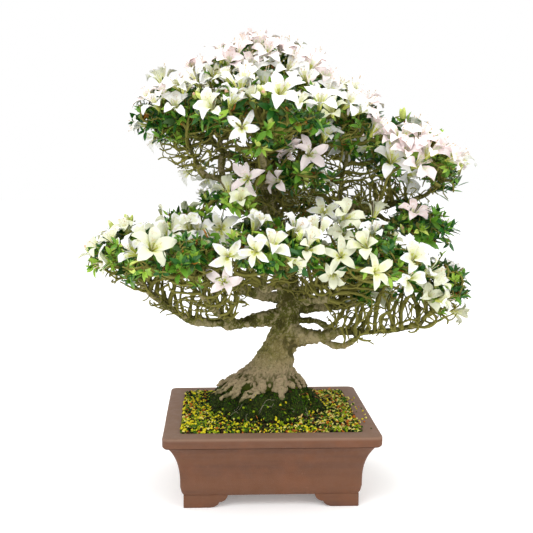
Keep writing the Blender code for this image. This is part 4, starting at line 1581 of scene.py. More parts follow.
W, C, I, L, B, S = Tint.WHITE, Tint.CREAM, Tint.IVORY, Tint.LIME, Tint.BLUSH, Tint.SHELL
STAR, OPEN, FUNNEL, YOUNG = Opening.STAR, Opening.OPEN, Opening.FUNNEL, Opening.YOUNG
FRONT_BLOOMS = [Bloom(*row) for row in (
    # the top tier, from left to right
    (228, 60, -5, 40, B, OPEN, 1.1), (268, 50, 5, 45, B, OPEN, 1.1), (310, 66, 10, 40, B, OPEN, 1.15),
    (330, 90, 20, 40, W, OPEN, 1.1), (192, 66, -25, 45, B, OPEN), (176, 84, -25, 40, W, OPEN),
    (288, 66, 5, 35, W, OPEN, 1.15), (250, 74, -5, 35, W, OPEN, 1.1), (340, 84, 30, 40, W, OPEN),
    (141, 125, -75, 5, W, FUNNEL, 0.9), (152, 139, -50, -25, W, OPEN, 0.85),
    (155, 101, -35, 55, W, OPEN), (163, 90, -20, 70, B, OPEN, 0.9), (174, 104, -5, 45, W, OPEN, 1.05),
    (184, 88, 20, 70, C, FUNNEL, 0.9), (203, 62, -20, 60, S, OPEN), (211, 104, -15, 40, C, OPEN, 1.1),
    (196, 80, -35, 45, W, FUNNEL), (214, 74, 10, 40, C, OPEN, 0.95), (243, 127, 5, 5, W, STAR, 0.9),
    (221, 52, 0, 70, B, OPEN), (236, 47, -10, 60, S, OPEN), (241, 82, 5, 65, W, FUNNEL, 1.1),
    (250, 60, 10, 55, B, OPEN), (258, 44, 0, 75, B, FUNNEL), (268, 58, 5, 50, W, OPEN, 0.9),
    (281, 89, 8, 35, W, OPEN, 1.2), (280, 47, 10, 65, S, OPEN), (296, 56, 15, 55, B, OPEN),
    (306, 76, 0, 40, W, OPEN), (317, 57, 25, 60, S, OPEN), (327, 75, 35, 45, B, OPEN),
    (320, 99, -5, 50, W, OPEN, 1.15), (330, 110, -30, 40, L, OPEN, 0.95),
    (350, 100, 30, 40, W, OPEN, 1.15), (362, 108, 40, 35, W, OPEN),
    # under and right of the crown's middle
    (288, 148, -45, 15, S, OPEN), (310, 152, 5, 20, B, STAR, 1.15), (326, 133, 10, 55, W, OPEN),
    (341, 146, 5, 25, W, OPEN, 1.25), (244, 178, -30, 5, B, STAR), (275, 181, -60, 5, B, OPEN, 0.95),
    (378, 126, 35, 45, B, OPEN, 1.35), (390, 139, -5, 60, B, OPEN, 1.15),
    (404, 133, 20, 50, B, OPEN, 1.25), (409, 149, 10, 40, S, OPEN, 1.1),
    (423, 134, 20, 50, S, OPEN, 1.3), (431, 149, 20, 50, B, OPEN, 1.15),
    (442, 148, 55, 35, B, OPEN, 1.25), (392, 157, -5, 35, W, OPEN, 1.2),
    (421, 162, 30, 25, B, OPEN, 1.25), (409, 177, 25, -5, W, OPEN, 1.15),
    (455, 158, 75, 15, B, FUNNEL, 0.9), (416, 211, 10, 35, S, OPEN, 0.95),
    (186, 172, -60, -15, W, OPEN, 0.9), (206, 180, -30, -35, W, OPEN, 0.9),
    # the middle row
    (241, 200, -10, 50, L, FUNNEL, 0.9), (324, 210, -5, 30, C, STAR, 0.95),
    (348, 214, 25, 40, I, OPEN, 1.05), (342, 232, -30, 30, I, OPEN), (161, 213, -15, 60, C, YOUNG, 0.7),
    # the bottom tier, from left to right
    (96, 243, -65, 40, I, OPEN, 0.9), (104, 262, -70, 10, C, OPEN), (112, 238, -20, 65, C, OPEN),
    (127, 227, 0, 70, I, OPEN), (129, 252, -45, 20, W, OPEN, 1.1), (144, 238, -20, 40, C, OPEN, 1.15),
    (157, 231, -5, 50, I, OPEN, 1.1), (170, 231, 10, 45, C, FUNNEL, 1.2),
    (153, 247, 15, 25, I, OPEN, 1.2), (187, 226, -20, 40, C, OPEN, 1.1),
    (200, 229, 10, 50, W, OPEN, 1.05), (221, 228, 0, 12, C, STAR, 1.05), (229, 256, 5, 10, C, STAR),
    (223, 283, -5, 15, B, STAR), (254, 250, -20, 15, C, STAR, 0.9), (257, 226, 30, 50, C, FUNNEL, 1.1),
    (273, 243, 5, 50, C, OPEN, 1.15), (295, 229, 10, 50, W, FUNNEL, 1.1),
    (294, 260, 50, -15, L, FUNNEL, 0.85), (316, 232, -25, 50, C, FUNNEL, 1.15),
    (309, 246, 20, 35, I, FUNNEL), (340, 254, -15, 25, I, STAR, 1.05),
    (366, 246, -35, 30, L, FUNNEL, 1.1), (393, 238, 25, 50, L, OPEN, 0.9), (373, 232, 0, 60, W, FUNNEL),
    (414, 257, 0, 35, C, OPEN, 1.1), (332, 277, -20, -20, I, OPEN, 0.9),
    (379, 271, 20, 20, L, STAR, 0.95), (383, 295, 5, -5, I, OPEN), (430, 271, 45, 30, C, FUNNEL, 1.1),
    (409, 279, 0, 10, C, FUNNEL), (428, 296, 15, 30, I, OPEN), (445, 299, 60, 15, C, OPEN, 0.9),
    (456, 311, 75, -10, I, FUNNEL, 0.9), (440, 281, 40, 50, L, OPEN, 0.9))]


# columns and rows in the camera's square frame where sprays of dark leaves and of light ones stand
DARK_PLACES = (
    (154, 85), (250, 92), (301, 82), (151, 121), (175, 123), (199, 116), (231, 92), (237, 104), (250, 98),
    (264, 107), (280, 114), (292, 109), (316, 117), (239, 156), (269, 142), (266, 160), (281, 153),
    (207, 165), (222, 193), (285, 190), (302, 188), (190, 204), (208, 215), (159, 218), (272, 200),
    (300, 194), (176, 242), (210, 236), (287, 245), (306, 250), (281, 273), (200, 286), (204, 271),
    (217, 250), (435, 216), (445, 231), (449, 244), (432, 241), (455, 178), (357, 152), (342, 107),
    (383, 157), (394, 171), (395, 189), (380, 212), (390, 216), (401, 214), (377, 232), (419, 235),
    (369, 165), (352, 162), (336, 166), (408, 166), (322, 170), (186, 247), (192, 262), (210, 260),
    (243, 262), (262, 266), (300, 268))
LIGHT_PLACES = (
    (169, 79), (177, 85), (210, 75), (144, 131), (252, 151), (262, 149), (207, 191), (198, 193),
    (179, 210), (196, 210), (168, 215), (204, 198), (133, 274), (128, 280), (144, 272), (148, 261),
    (196, 239), (237, 237), (242, 233), (318, 249), (319, 268), (442, 255), (448, 169), (431, 151),
    (364, 229), (383, 261), (225, 200), (236, 206), (250, 208), (262, 213), (303, 213), (330, 196),
    (264, 232), (284, 228), (329, 240), (360, 262))


@dataclass(frozen=True)
class View:
    """The camera: where it stands, how it turns, its lens and its square frame."""

    place: tuple[float, float, float] = (-0.095179, -1.233056, 0.520162)
    pitch: float = -0.138225
    yaw: float = -0.029117
    lens: float = 53.862
    sensor: float = 36.0
    shift: float = 0.052805
    side: float = 533.0            # of the square frame, in pixels

    def turn(self) -> Euler:
        """The camera's turn, as an object's rotation."""
        return Euler((math.pi / 2 + self.pitch, 0.0, self.yaw))

    def sight(self, column: float, row: float) -> Vector:
        """The direction in which the camera sees a point of its frame."""
        focal = self.lens / self.sensor * self.side
        across = column - self.side * (0.5 - self.shift)
        down = row - self.side / 2
        return (self.turn().to_matrix() @ Vector((across / focal, -down / focal, -1.0))).normalized()


CAMERA = View()


@dataclass
class PlacedBlossom:
    """A blossom that is ready to be modelled: its foot and the way it faces."""

    foot: Vector
    facing: Vector
    tint: Tint
    opening: Opening
    size: float
    roll: float


@dataclass
class Blossoms:
    """Five-petalled funnels with stamens, and buds, over the outside of the crown."""

    crown: Crown
    seed: int = 5
    middle: float = 0.016          # from a blossom's foot to the middle of its funnel
    sunk: float = 0.010            # how deep under a pad's skin that middle lies
    spacing: float = 0.034
    top_spacing: float = 0.026
    kept_free: float = 0.93        # the share of the places in sight that only the chosen ones take
    front_ease: float = 1.30       # how much wider they are spaced where the chosen ones show
    density: float = 4200.0        # places tried in a square metre of skin
    top: float = 0.60              # the height above which they stand more closely
    low_free: float = 0.35         # the share of a pad's height, from below, that stays free
    in_sight: float = 0.012        # how near the first thing seen a place has to be to be seen itself
    open_range: float = 0.050      # how near a foot is for its open petals to be in the way
    cover_range: float = 0.060     # how near it is for its funnel to be

    def __post_init__(self) -> None:
        """Makes the shapes and starts the joined pieces."""
        self.dice = random.Random(self.seed)
        self.petals: dict[Opening, list[Shape]] = {}
        self.banners: dict[Opening, list[Shape]] = {}
        for opening in Opening:
            form = opening.value
            sizes = [(form.reach * self.dice.uniform(0.93, 1.07), form.rise * self.dice.uniform(0.92, 1.08),
                      form.recurve + self.dice.uniform(-0.002, 0.003), form.width, ruffle)
                     for ruffle in (0.0012, 0.0024, -0.0020, 0.0032)]
            self.petals[opening] = [PetalForm(*each).shape(self.dice) for each in sizes]
            self.banners[opening] = [PetalForm(*each, freckles=9).shape(self.dice) for each in sizes[:3]]
        self.stamen = Shape.made_by(self.model_stamen)
        self.bud = Shape.made_by(self.model_bud)
        self.sepal = LeafForm(0.42, 0.3, 0.1).shape()
        self.scatter = Scatter("blossoms", "blossom", PETAL_FINISHES)
        self.placed: list[PlacedBlossom] = []

    @staticmethod
    def model_stamen(mesh: BMesh) -> None:
        """A thin filament one unit long with an anther at its end."""
        bmesh.ops.create_cone(mesh, cap_ends=False, segments=3, radius1=0.014, radius2=0.009, depth=1.0,
                              matrix=Matrix.Translation((0.0, 0.0, 0.5)))
        for face in mesh.faces:
            face.material_index = 0
        end = Matrix.Translation((0.0, 0.0, 1.0)) @ Matrix.Diagonal((1, 1, 1.9, 1))
        made = bmesh.ops.create_icosphere(mesh, subdivisions=1, radius=0.022, matrix=end)
        for face in {face for vert in made["verts"] for face in vert.link_faces}:
            face.material_index = 1

    @staticmethod
    def model_bud(mesh: BMesh) -> None:
        """A closed spindle one unit long, with a pointed end."""
        bmesh.ops.create_uvsphere(mesh, u_segments=7, v_segments=6, radius=0.5)
        for face in mesh.faces:
            height = face.calc_center_median().z + 0.5
            face.material_index = 0 if height < 0.2 else (1 if height < 0.75 else 2)
        for vert in mesh.verts:
            height = vert.co.z + 0.5
            slim = 0.34 + 0.12 * math.sin(3.0 * math.atan2(vert.co.y, vert.co.x))
            vert.co.x *= slim * (1.15 - 0.45 * height)
            vert.co.y *= slim * (1.15 - 0.45 * height)
            vert.co.z = height

    def choose_front(self) -> None:
        """Settles the blossoms that have their own places."""
        eye = Vector(CAMERA.place)
        for bloom in FRONT_BLOOMS:
            sight = CAMERA.sight(bloom.column, bloom.row)
            place, _ = self.crown.seen_from(eye, sight)
            yaw, pitch = math.radians(bloom.yaw), math.radians(bloom.pitch)
            level = math.cos(pitch)
            facing = Vector((math.sin(yaw) * level, -math.cos(yaw) * level, math.sin(pitch)))
            middle = place + sight * self.sunk
            foot = middle - facing * self.middle * bloom.size
            self.placed.append(PlacedBlossom(foot, facing, bloom.tint, bloom.opening, bloom.size,
                                             self.dice.uniform(-0.5, 0.5)))

    def choose_round(self) -> None:
        """Settles the rest, spaced over every side that the first ones leave free."""
        dice = self.dice
        for pad in self.crown.pads:
            for place, normal in pad.scattered(self.density, dice):
                share = (place.z - pad.low.z) / (pad.high.z - pad.low.z)
                if normal.z < -0.1 or share < self.low_free or self.crown.depth(place, pad) > -0.006:
                    continue
                spacing = self.top_spacing if place.z > self.top else self.spacing
                if place.z < self.top and normal.y < 0.2:
                    spacing *= self.front_ease
                    if dice.random() < self.kept_free and self.is_seen(place):
                        continue
                spacing *= dice.uniform(0.85, 1.35)
                facing = (normal * 0.9 + UP * 0.6 + random_direction(dice) * 0.55).normalized()
                foot = place - normal * self.sunk - facing * self.middle
                if any((foot - other.foot).length < spacing for other in self.placed):
                    continue
                self.placed.append(PlacedBlossom(
                    foot, facing, self.tint_at(place), dice.choices(list(Opening), (24, 44, 24, 8))[0],
                    dice.uniform(0.88, 1.1), dice.uniform(-0.6, 0.6)))

    def is_seen(self, place: Vector) -> bool:
        """Whether a place on the crown is in the camera's sight."""
        eye = Vector(CAMERA.place)
        first, _ = self.crown.seen_from(eye, (place - eye).normalized())
        return (first - place).length < self.in_sight

    def tint_at(self, place: Vector) -> Tint:
        """A colour for a place: more blush near the top and on the right."""
        pink = 0.55 * max(0.0, (place.z - 0.55) / 0.12) + (0.40 if place.x > 0.12 and place.z > 0.45 else 0.0)
        if self.dice.random() < pink:
            return self.dice.choice((Tint.BLUSH, Tint.BLUSH, Tint.SHELL))
        return self.dice.choice((Tint.WHITE, Tint.WHITE, Tint.CREAM) if place.z > 0.50
                                else (Tint.WHITE, Tint.CREAM, Tint.IVORY))

    def tips(self) -> list[Tip]:
        """The twigs' tips that carry the blossoms."""
        return [Tip(each.foot, each.facing, Kind.BLOSSOM) for each in self.placed]

    def map_places(self) -> None:
        """Notes where the blossoms are, once all of them are settled."""
        self.near = tree_of([each.foot for each in self.placed])

    def beside(self, point: Vector, reach: float) -> Iterator[tuple[PlacedBlossom, float, float]]:
        """The blossoms within reach of a point, and how far it lies along and away from each one's axis."""
        for _, index, _ in self.near.find_range(point, reach):
            each = self.placed[index]
            along = (point - each.foot).dot(each.facing)
            yield each, along, (point - each.foot - each.facing * along).length

    def is_open(self, point: Vector) -> bool:
        """Whether a point lies just before a blossom's open petals, where nothing may cross them."""
        for each, along, away in self.beside(point, self.open_range):
            form = each.opening.value
            petals = 0.9 * form.rise * each.size * min(1.0, away / (0.4 * form.reach * each.size)) ** 0.6
            if away < 1.02 * form.reach * each.size and -0.001 < along - petals < 0.018:
                return True
        return False

    def covers(self, point: Vector) -> bool:
        """Whether a point lies in a blossom's funnel, where no leaf may stand."""
        return any(-0.002 < along < 0.052 and away < 0.008 + 0.50 * along
                   for _, along, away in self.beside(point, self.cover_range))

    def model(self, each: PlacedBlossom) -> None:
        """Adds one blossom: its petals, stamens and sepals."""
        dice = self.dice
        turn = frame_of(each.facing, each.roll)
        for index in range(PETALS):
            around = index * math.tau / PETALS + dice.gauss(0.0, 0.13)
            petal = dice.choice(self.banners[each.opening] if index == 0 else self.petals[each.opening])
            lean = (Matrix.Rotation(dice.gauss(0.0, 0.15), 3, "X")
                    @ Matrix.Rotation(dice.gauss(0.0, 0.14), 3, "Y"))
            spin = turn @ Matrix.Rotation(around, 3, "Z") @ lean
            stretch = Vector((dice.uniform(0.84, 1.14), dice.uniform(0.88, 1.08), dice.uniform(0.90, 1.10)))
            self.scatter.place(petal, placed(each.foot, spin, stretch * each.size), *PETAL_TINTS[each.tint])
        if each.opening is not Opening.YOUNG:
            rise = each.opening.value.rise
            for _ in range(PETALS):
                lean = Matrix.Rotation(dice.uniform(0.10, 0.42), 3, "X")
                spin = turn @ Matrix.Rotation(dice.uniform(0.0, math.tau), 3, "Z") @ lean
                length = (rise + 0.004) * dice.uniform(0.8, 1.05) * each.size
                foot = each.foot + each.facing * 0.003
                self.scatter.place(self.stamen, placed(foot, spin, length), FILAMENT, ANTHER)
        for index in range(SEPALS):
            around = Matrix.Rotation(index * 1.57 + dice.random(), 3, "Z")
            spin = turn @ around @ Matrix.Rotation(-0.9, 3, "X")
            self.scatter.place(self.sepal, placed(each.foot, spin.inverted().transposed(), 0.007), CALYX)

    def model_buds(self, tips: Iterable[Tip]) -> None:
        """Adds the buds that some twigs carry."""
        dice = self.dice
        for tip in tips:
            for _ in range(dice.choice((1, 1, 2, 3))):
                axis = (tip.facing + UP * 0.6 + random_direction(dice) * 0.55).normalized()
                length = dice.uniform(0.013, 0.024)
                tints = dice.choice(BUD_TINTS)
                self.scatter.place(self.bud, placed(tip.place, frame_of(axis, dice.random()), length), *tints)

    def build(self) -> None:
        """Models every blossom and joins them."""
        for each in self.placed:
            self.model(each)
        self.scatter.build()


# ---- The crown's growth --------------------------------------------------------------------------
@dataclass
class Growth:
    """Settles where tips lie, grows the twigs to them and dresses them with leaves and blossom."""

    crown: Crown
    seed: int = 12
    density: float = 15000.0       # candidate tips in a square metre of skin
    spacing: float = 0.0109
    bare_spacing: float = 0.0080
    bud_share: float = 0.045
    inner_share: float = 0.25
    lower_tips: int = 60_000       # tries at a tip over the boughs
    inner_density: float = 1.2e6   # tries in a cubic metre of a pad's box
    sprig_depth: float = 0.005     # how deep under the skin the sprays with their own places lie
    cell: float = 0.012            # the side of the cubes that taken places are sorted into
    roof: float = 0.16             # how far above a bare tip the crown may be

    def __post_init__(self) -> None:
        """Starts the source of chance and the list of tips."""
        self.dice = random.Random(self.seed)
        self.tips: list[Tip] = []
        self.taken: dict[tuple[int, ...], list[Vector]] = {}

    def is_free(self, point: Vector, spacing: float) -> bool:
        """Whether no tip is near, and if so takes the place."""
        cell = tuple(math.floor(part / self.cell) for part in point)
        around = product((-1, 0, 1), repeat=3)
        if any((other - point).length < spacing for dx, dy, dz in around
               for other in self.taken.get((cell[0] + dx, cell[1] + dy, cell[2] + dz), ())):
            return False
        self.taken.setdefault(cell, []).append(point)
        return True

    def settle_leaf_tips(self, blossoms: Blossoms) -> None:
        """Spreads tips in a layer under the pads' skins, thick above and thin below."""
        dice = self.dice
        for pad in self.crown.pads:
            for place, normal in pad.scattered(self.density, dice):
                share = (place.z - pad.low.z) / (pad.high.z - pad.low.z)
                bottom = 0.16 if pad.low.z < 0.40 else 0.12
                chance = min(1.0, max(0.05, (share - bottom) / 0.34)) * (1.0 if normal.z > -0.25 else 0.3)
                if dice.random() > chance or self.crown.depth(place, pad) > -0.003:
                    continue
                depths = (0.020, 0.036) if dice.random() < self.inner_share else (0.006, 0.020)
                point = place - normal * dice.uniform(*depths)
                if blossoms.covers(point + normal * 0.008) or not self.is_free(point, self.spacing):
                    continue
                kind = Kind.BUD if dice.random() < self.bud_share and normal.z > -0.1 else Kind.LEAVES
                self.tips.append(Tip(point, normal, kind))

    def settle_sprigs(self) -> None:
        """Takes up the sprays that have their own places."""
        eye = Vector(CAMERA.place)
        for light, places in ((False, DARK_PLACES), (True, LIGHT_PLACES)):
            for column, row in places:
                sight = CAMERA.sight(column, row)
                place, normal = self.crown.seen_from(eye, sight)
                self.tips.append(Tip(place + sight * self.sprig_depth, normal, Kind.LEAVES, light))

    def leafy(self, point: Vector) -> float:
        """The chance that a tip among the bare twigs still has leaves."""
        return 0.12 if point.z > 0.41 else 0.04

    def tightness(self, point: Vector) -> float:
        """How closely bare tips stand at a place."""
        right = point.x > POT_CENTRE.x - 0.02
        return self.bare_spacing * (0.70 if point.z > 0.40 and right else 0.76)

    @staticmethod
    def stands_over(point: Vector, lines: np.ndarray) -> bool:
        """Whether a place is higher than the lowest of the boughs that are next to it, seen from above."""
        away = np.hypot(lines[:, 0] - point.x, lines[:, 1] - point.y)
        return point.z > lines[away < away.min() + 0.008, 2].min() - 0.003

    def settle_bare_tips(self) -> None:
        """Spreads tips without leaves through the lower half of the pads and over the boughs."""
        dice = self.dice
        lines = [point for bough in BOUGHS.values() for point in bough.line(4)]
        flat = np.array(lines)
        for _ in range(self.lower_tips):
            start = dice.choice(lines)
            spread = random_direction(dice)
            point = start + Vector((spread.x * 0.050, spread.y * 0.045, abs(spread.z) * 0.065 + 0.006))
            gap = POT_CENTRE.x - 0.100 < point.x < POT_CENTRE.x - 0.020
            if point.z > 0.40 and gap and dice.random() > 0.25 or not self.stands_over(point, flat):
                continue
            outside = point + (Vector((point.x, point.y, 0.0)) - POT_CENTRE).normalized() * 0.016
            roofed = all(any(pad.skin.ray_cast(spot, UP, self.roof)[0] is not None for pad in self.crown.pads)
                         for spot in (point, outside))
            if roofed and self.is_free(point, self.tightness(point)):
                leafy = dice.random() < self.leafy(point) and self.crown.depth(point) > -0.012
                self.tips.append(Tip(point, UP.copy(), Kind.LEAVES if leafy else Kind.BARE))
        for pad in self.crown.pads:
            size = pad.high - pad.low
            for _ in range(int(size.x * size.y * size.z * self.inner_density)):
                inside = (dice.random() * size.x, dice.random() * size.y,
                          dice.random() ** 1.3 * size.z * 0.75)
                point = pad.low + Vector(inside)
                if (self.stands_over(point, flat) and pad.depth(point) > 0.004
                        and self.is_free(point, self.bare_spacing)):
                    self.tips.append(Tip(point, UP.copy(), Kind.BARE))

    def build(self) -> None:
        """Grows and dresses the whole crown."""
        blossoms = Blossoms(self.crown)
        blossoms.choose_front()
        blossoms.choose_round()
        blossoms.map_places()
        self.tips.extend(blossoms.tips())
        self.settle_sprigs()
        self.settle_leaf_tips(blossoms)
        self.settle_bare_tips()
        net = TwigNet()
        net.plant()
        net.grow(self.tips)
        net.cut(self.tips, blossoms.is_open)
        LOG.info("tips %d, nodes %d, blossoms %d", len(self.tips), len(net.nodes), len(blossoms.placed))
        build_twigs(net, self.tips, self.dice)
        leaves = Leaves(blossoms.is_open)
        for tip in self.tips:
            if tip.kind in (Kind.LEAVES, Kind.BUD):
                leaves.spray(tip)
        leaves.build()
        blossoms.model_buds([tip for tip in self.tips if tip.kind is Kind.BUD])
        blossoms.build()


# ---- Soil and moss -------------------------------------------------------------------------------
GRAIN_FINISHES = palette(
    ("grain_yellow", (222, 208, 34), 0.7, 0.25), ("grain_lime", (138, 160, 12), 0.7, 0.25),
    ("grain_green", (54, 92, 8), 0.7, 0.25), ("grain_dark", (16, 24, 4), 0.8, 0.15),
    ("grain_cream", (230, 218, 120), 0.7, 0.25), ("grain_orange", (190, 104, 22), 0.7, 0.25),
    ("grain_brown", (52, 34, 12), 0.8))
MOSS_FINISHES = palette(
    ("moss_deep", (22, 36, 4), 0.9, 0.1), ("moss_mid", (38, 62, 6), 0.9, 0.1),
    ("moss_bright", (62, 108, 8), 0.85, 0.1), ("moss_olive", (76, 72, 22), 0.9, 0.1))
LITTER_FINISHES = palette(
    ("litter_orange", (196, 112, 46), 0.6, 0.3), ("litter_brown", (136, 76, 38), 0.6, 0.3),
    ("litter_straw", (212, 176, 110), 0.6, 0.3), ("rootlet", (156, 150, 130), 0.7))


def patches(x: float, y: float, layer: float, scale: float) -> float:
    """Noise over the level: each layer has a pattern of its own, with so many patches in a metre."""
    return noise.noise(Vector((x, y, layer)) * scale)


@dataclass
class Ground:
    """What lies in the pot: the earth, its granules, the moss round the trunk and some litter."""

    seed: int = 8
    grains: int = 6600
    grain_size: float = 0.0039
    tufts: int = 6500
    flakes: int = 150
    spilled: int = 26
    moss_centre: tuple[float, float] = (-0.004, 0.016)
    moss_half: tuple[float, float] = (0.096, 0.094)
    moss_top: float = 0.1540
    highlight_spot: tuple[float, float] = (0.048, -0.034)    # from the moss's centre, where its tufts are brightest green: a painted highlight
    highlight_reach: float = 0.040
    rim: float = 0.0265            # from the pot's outer face to what lies in it
    roll: float = 6.28             # how far small things are rolled at most
    stray_tufts: float = 0.03      # the share of tufts past the moss's edge that stay
    moss_grains: float = 0.035     # the share of granules on the moss that stay
    rootlets: int = 9
    rootlet_radius: float = 0.00022

    def __post_init__(self) -> None:
        """Finds the surfaces that things lie on."""
        self.dice = random.Random(self.seed)
        self.half_length = (POT_HIGH.x - POT_LOW.x) / 2 - self.rim
        self.half_width = (POT_HIGH.y - POT_LOW.y) / 2 - self.rim
        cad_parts["soil"].data.materials.clear()
        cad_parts["soil"].data.materials.append(SOIL_BED.material())

    def moss_share(self, x: float, y: float) -> float:
        """How far inside the moss's uneven edge a place lies: 1 at its centre, below 0 outside."""
        away = Vector(((x - POT_CENTRE.x - self.moss_centre[0]) / self.moss_half[0],
                       (y - POT_CENTRE.y - self.moss_centre[1]) / self.moss_half[1], 0.0))
        ragged = 0.16 * patches(x, y, 0.0, 38.0) + 0.07 * patches(x, y, 0.3, 110.0)
        return 1.0 - away.length + ragged

    def height(self, x: float, y: float) -> float:
        """The ground's height at a place."""
        edge = min(self.half_length - abs(x - POT_CENTRE.x), self.half_width - abs(y - POT_CENTRE.y))
        bed = POT_HEIGHT - 0.0016 + (SOIL_TOP - POT_HEIGHT + 0.002) * min(1.0, max(0.0, edge / 0.030))
        share = max(0.0, self.moss_share(x, y))
        mound = (self.moss_top - SOIL_TOP) * min(1.0, share / 0.40) ** 0.9
        return bed + mound + patches(x, y, 0.0, 60.0) * 0.0012

    def over(self, x: float, y: float, lift: float) -> Vector:
        """A point so far over the ground."""
        return Vector((x, y, self.height(x, y) + lift))

    def build_moss(self) -> None:
        """Models the moss's cushion as a lumpy sheet with a skirt, and covers it with small tufts."""
        centre = POT_CENTRE + Vector((*self.moss_centre, 0.0))
        reach = max(self.moss_half) * 1.25

        def build(shape: BMesh) -> None:
            """Drapes a fine grid over the mound and cuts it off past the moss's edge."""
            bmesh.ops.create_grid(shape, x_segments=120, y_segments=120, size=reach)
            for vert in shape.verts:
                x, y = vert.co.x + centre.x, vert.co.y + centre.y
                share = self.moss_share(x, y)
                lumps = patches(x, y, 1.0, 150.0) * 0.0016 + patches(x, y, 2.0, 420.0) * 0.0008
                vert.co = Vector((x, y, self.height(x, y) + lumps + 0.0008 - (0.006 if share < 0.0 else 0.0)))
            outside = [vert for vert in shape.verts if self.moss_share(vert.co.x, vert.co.y) < -0.06]
            bmesh.ops.delete(shape, geom=outside, context="VERTS")

        dress(show("moss_cushion", mesh_made_by("moss_cushion", build)), [MOSS_BED], ["moss"])
        spike = Shape.made_by(lambda mesh: bmesh.ops.create_cone(
            mesh, cap_ends=False, segments=3, radius1=0.32, radius2=0.02, depth=1.0,
            matrix=Matrix.Translation((0.0, 0.0, 0.4))))
        scatter = Scatter("moss_tufts", "moss", MOSS_FINISHES)
        dice = self.dice
        while len(scatter.copies) < self.tufts:
            x = centre.x + dice.uniform(-reach, reach)
            y = centre.y + dice.uniform(-reach, reach)
            share = self.moss_share(x, y)
            if share < 0.0 and dice.random() < 1.0 - self.stray_tufts:
                continue
            over_rim = (abs(x - POT_CENTRE.x) > self.half_length
                        or abs(y - POT_CENTRE.y) > self.half_width)
            if share < -0.25 or over_rim:
                continue
            # random patches, and near this spot a painted highlight, turn the tufts brighter green
            near = math.hypot(x - centre.x - self.highlight_spot[0], y - centre.y - self.highlight_spot[1])
            bright = patches(x, y, 5.0, 32.0) + 1.1 * max(0.0, 1.0 - near / self.highlight_reach)
            weights = (5, 4, 1, 1) if bright < 0.1 else (2, 5, 4, 1) if bright < 0.45 else (1, 3, 8, 1)
            lean = (UP + random_direction(dice) * 0.8).normalized()
            size = dice.uniform(0.0016, 0.0036)
            turn = frame_of(lean, dice.uniform(0, self.roll))
            tint = dice.choices(range(4), weights)[0]
            scatter.place(spike, placed(self.over(x, y, 0.0004), turn, size), tint)
        scatter.build()

    def grain_shapes(self) -> list[Shape]:
        """A few chipped granules, about one unit across."""
        shapes = []
        for _ in range(5):
            def build(mesh: BMesh) -> None:
                """Chips a cube."""
                bmesh.ops.create_cube(mesh, size=0.8)
                for vert in mesh.verts:
                    vert.co += random_direction(self.dice) * 0.2
                    vert.co.z *= 0.7
            shapes.append(Shape.made_by(build))
        return shapes

    def grain_tint(self, x: float, y: float) -> int:
        """A granule's colour: yellower on the left, paler on the right, darker by the moss."""
        side = (x - POT_CENTRE.x) / self.half_length
        patch = patches(x, y, 9.0, 22.0)
        weights = [4.5 - 3.5 * side + 5.0 * max(0.0, patch), 5.0, 6.6, 7.4,
                   1.8 + 4.0 * max(0.0, side) - 3.0 * min(0.0, patch), 1.3 + 1.2 * max(0.0, side), 3.0]
        if self.moss_share(x, y) > -0.12:
            weights[3] += 8.0
            weights[6] += 4.0
        return self.dice.choices(range(7), weights)[0]

    def build_grains(self) -> None:
        """Covers the soil with granules, and spills a few over the rim."""
        dice = self.dice
        shapes = self.grain_shapes()
        scatter = Scatter("granules", "soil", GRAIN_FINISHES)
        while len(scatter.copies) < self.grains:
            x = POT_CENTRE.x + dice.uniform(-self.half_length, self.half_length)
            y = POT_CENTRE.y + dice.uniform(-self.half_width, self.half_width)
            share = self.moss_share(x, y)
            if share > 0.05 and dice.random() > self.moss_grains:
                continue
            size = self.grain_size * dice.uniform(0.65, 1.35)
            spot = self.over(x, y, size * dice.uniform(-0.1, 0.45))
            shape = dice.choice(shapes)
            turn = frame_of(random_direction(dice), dice.random() * self.roll)
            scatter.place(shape, placed(spot, turn, size), self.grain_tint(x, y))
        for _ in range(self.spilled):
            x = POT_CENTRE.x + self.half_length + dice.uniform(0.001, 0.018)
            y = POT_CENTRE.y + dice.uniform(-0.10, 0.06)
            size = self.grain_size * dice.uniform(0.5, 1.0)
            spot = Vector((x, y, POT_HEIGHT + size * 0.3))
            scatter.place(dice.choice(shapes), placed(spot, frame_of(random_direction(dice), 0.0), size),
                          dice.choice((0, 2, 4, 4, 5)))
        scatter.build()

    def build_litter(self) -> None:
        """Lays fallen flakes on the granules and pale rootlets on the moss."""
        dice = self.dice
        flake = LeafForm(0.17, 0.2, 0.12).shape()
        scatter = Scatter("litter", "foliage", LITTER_FINISHES[:3])
        for _ in range(self.flakes):
            right = dice.random() < 0.55
            x = POT_CENTRE.x + (dice.uniform(0.05, self.half_length) if right
                                else dice.uniform(-self.half_length, self.half_length))
            y = POT_CENTRE.y + dice.uniform(-self.half_width, self.half_width)
            if self.moss_share(x, y) > 0.30:
                continue
            lean = (UP + random_direction(dice) * 0.35).normalized()
            size = dice.uniform(0.007, 0.015)
            turn = frame_of(lean, dice.uniform(0, self.roll))
            scatter.place(flake, placed(self.over(x, y, 0.0022), turn, size), dice.choice((0, 0, 1, 2)))
        scatter.build()
        strands = []
        for _ in range(self.rootlets):
            heading = dice.uniform(-math.pi, 0.0)
            x = POT_CENTRE.x + dice.uniform(-0.055, 0.06)
            y = POT_CENTRE.y + dice.uniform(-0.068, -0.038)
            points = []
            for _ in range(dice.randint(7, 14)):
                points.append(self.over(x, y, dice.uniform(0.0016, 0.0034)))
                heading += dice.gauss(0.0, 0.45)
                x += math.cos(heading) * 0.0026
                y += math.sin(heading) * 0.0014
            strands.append(Strand(points, [self.rootlet_radius] * len(points)))
        dress(show("rootlets", tubes("rootlets", strands, 0)), [LITTER_FINISHES[3]])

    def build(self) -> None:
        """Models all that lies in the pot."""
        self.build_moss()
        self.build_grains()
        self.build_litter()


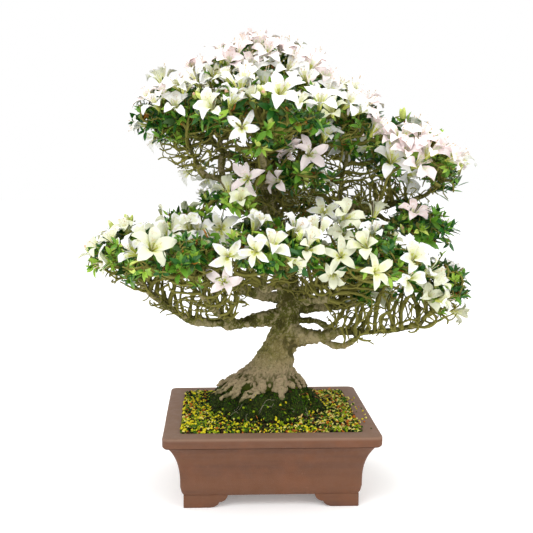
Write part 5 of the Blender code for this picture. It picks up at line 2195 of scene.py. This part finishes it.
# ---- Studio --------------------------------------------------------------------------------------
WHITE = (1.0, 1.0, 1.0, 1.0)


@dataclass(frozen=True)
class Lamp:
    """A soft square light: where it hangs, what it points at, its side and its power."""

    name: str
    place: Point
    side: float
    power: float
    aim: Point = (0.0, 0.0, 0.35)

    def hang(self) -> None:
        """Puts the lamp into the scene."""
        light = bpy.data.lights.new(self.name, "AREA")
        light.shape = "SQUARE"
        light.size = self.side
        light.energy = self.power
        item = show(self.name, light)
        item.location = self.place
        item.rotation_euler = (Vector(self.aim) - Vector(self.place)).to_track_quat("-Z", "Y").to_euler()


@dataclass
class Studio:
    """A plain white room: floor, even daylight, soft lamps and the camera."""

    sky: float = 1.0
    floor_glow: float = 0.20
    lamps: tuple[Lamp, ...] = (
        Lamp("key", (-1.1, -1.7, 2.3), 1.3, 25.0),
        Lamp("fill", (1.7, -1.6, 1.3), 1.5, 12.0),
        Lamp("top", (0.1, 0.2, 2.4), 1.6, 24.0),
    )

    def build(self) -> None:
        """Lights the room and sets the camera."""
        scene = bpy.context.scene
        scene.view_settings.view_transform = "Standard"
        world = bpy.data.worlds.new("daylight")
        world.use_nodes = True
        air = world.node_tree.nodes["Background"]
        air.inputs["Color"].default_value = WHITE
        air.inputs["Strength"].default_value = self.sky
        scene.world = world
        floor = show("floor", mesh_made_by("floor", lambda shape: bmesh.ops.create_grid(
            shape, x_segments=1, y_segments=1, size=8.0)))
        white = PlainFinish("white_floor", (250, 250, 250), 0.9, 0.0).material()
        shader = white.node_tree.nodes["Principled BSDF"]
        shader.inputs["Emission Color"].default_value = WHITE
        shader.inputs["Emission Strength"].default_value = self.floor_glow
        floor.data.materials.append(white)
        for lamp in self.lamps:
            lamp.hang()
        lens = bpy.data.cameras.new("camera")
        lens.sensor_width = CAMERA.sensor
        lens.lens = CAMERA.lens
        lens.shift_x = CAMERA.shift
        lens.clip_start = 0.05
        camera = show("camera", lens)
        camera.location = CAMERA.place
        camera.rotation_euler = CAMERA.turn()
        scene.camera = camera


def main() -> None:
    """Builds the object's looks round the frame."""
    logging.basicConfig(level=logging.INFO, format="%(name)s: %(message)s")
    noise.seed_set(NOISE_SEED)
    Studio().build()
    Pot().build()
    Wood().build()
    Ground().build()
    Growth(Crown()).build()


if __name__ == "__main__":
    main()
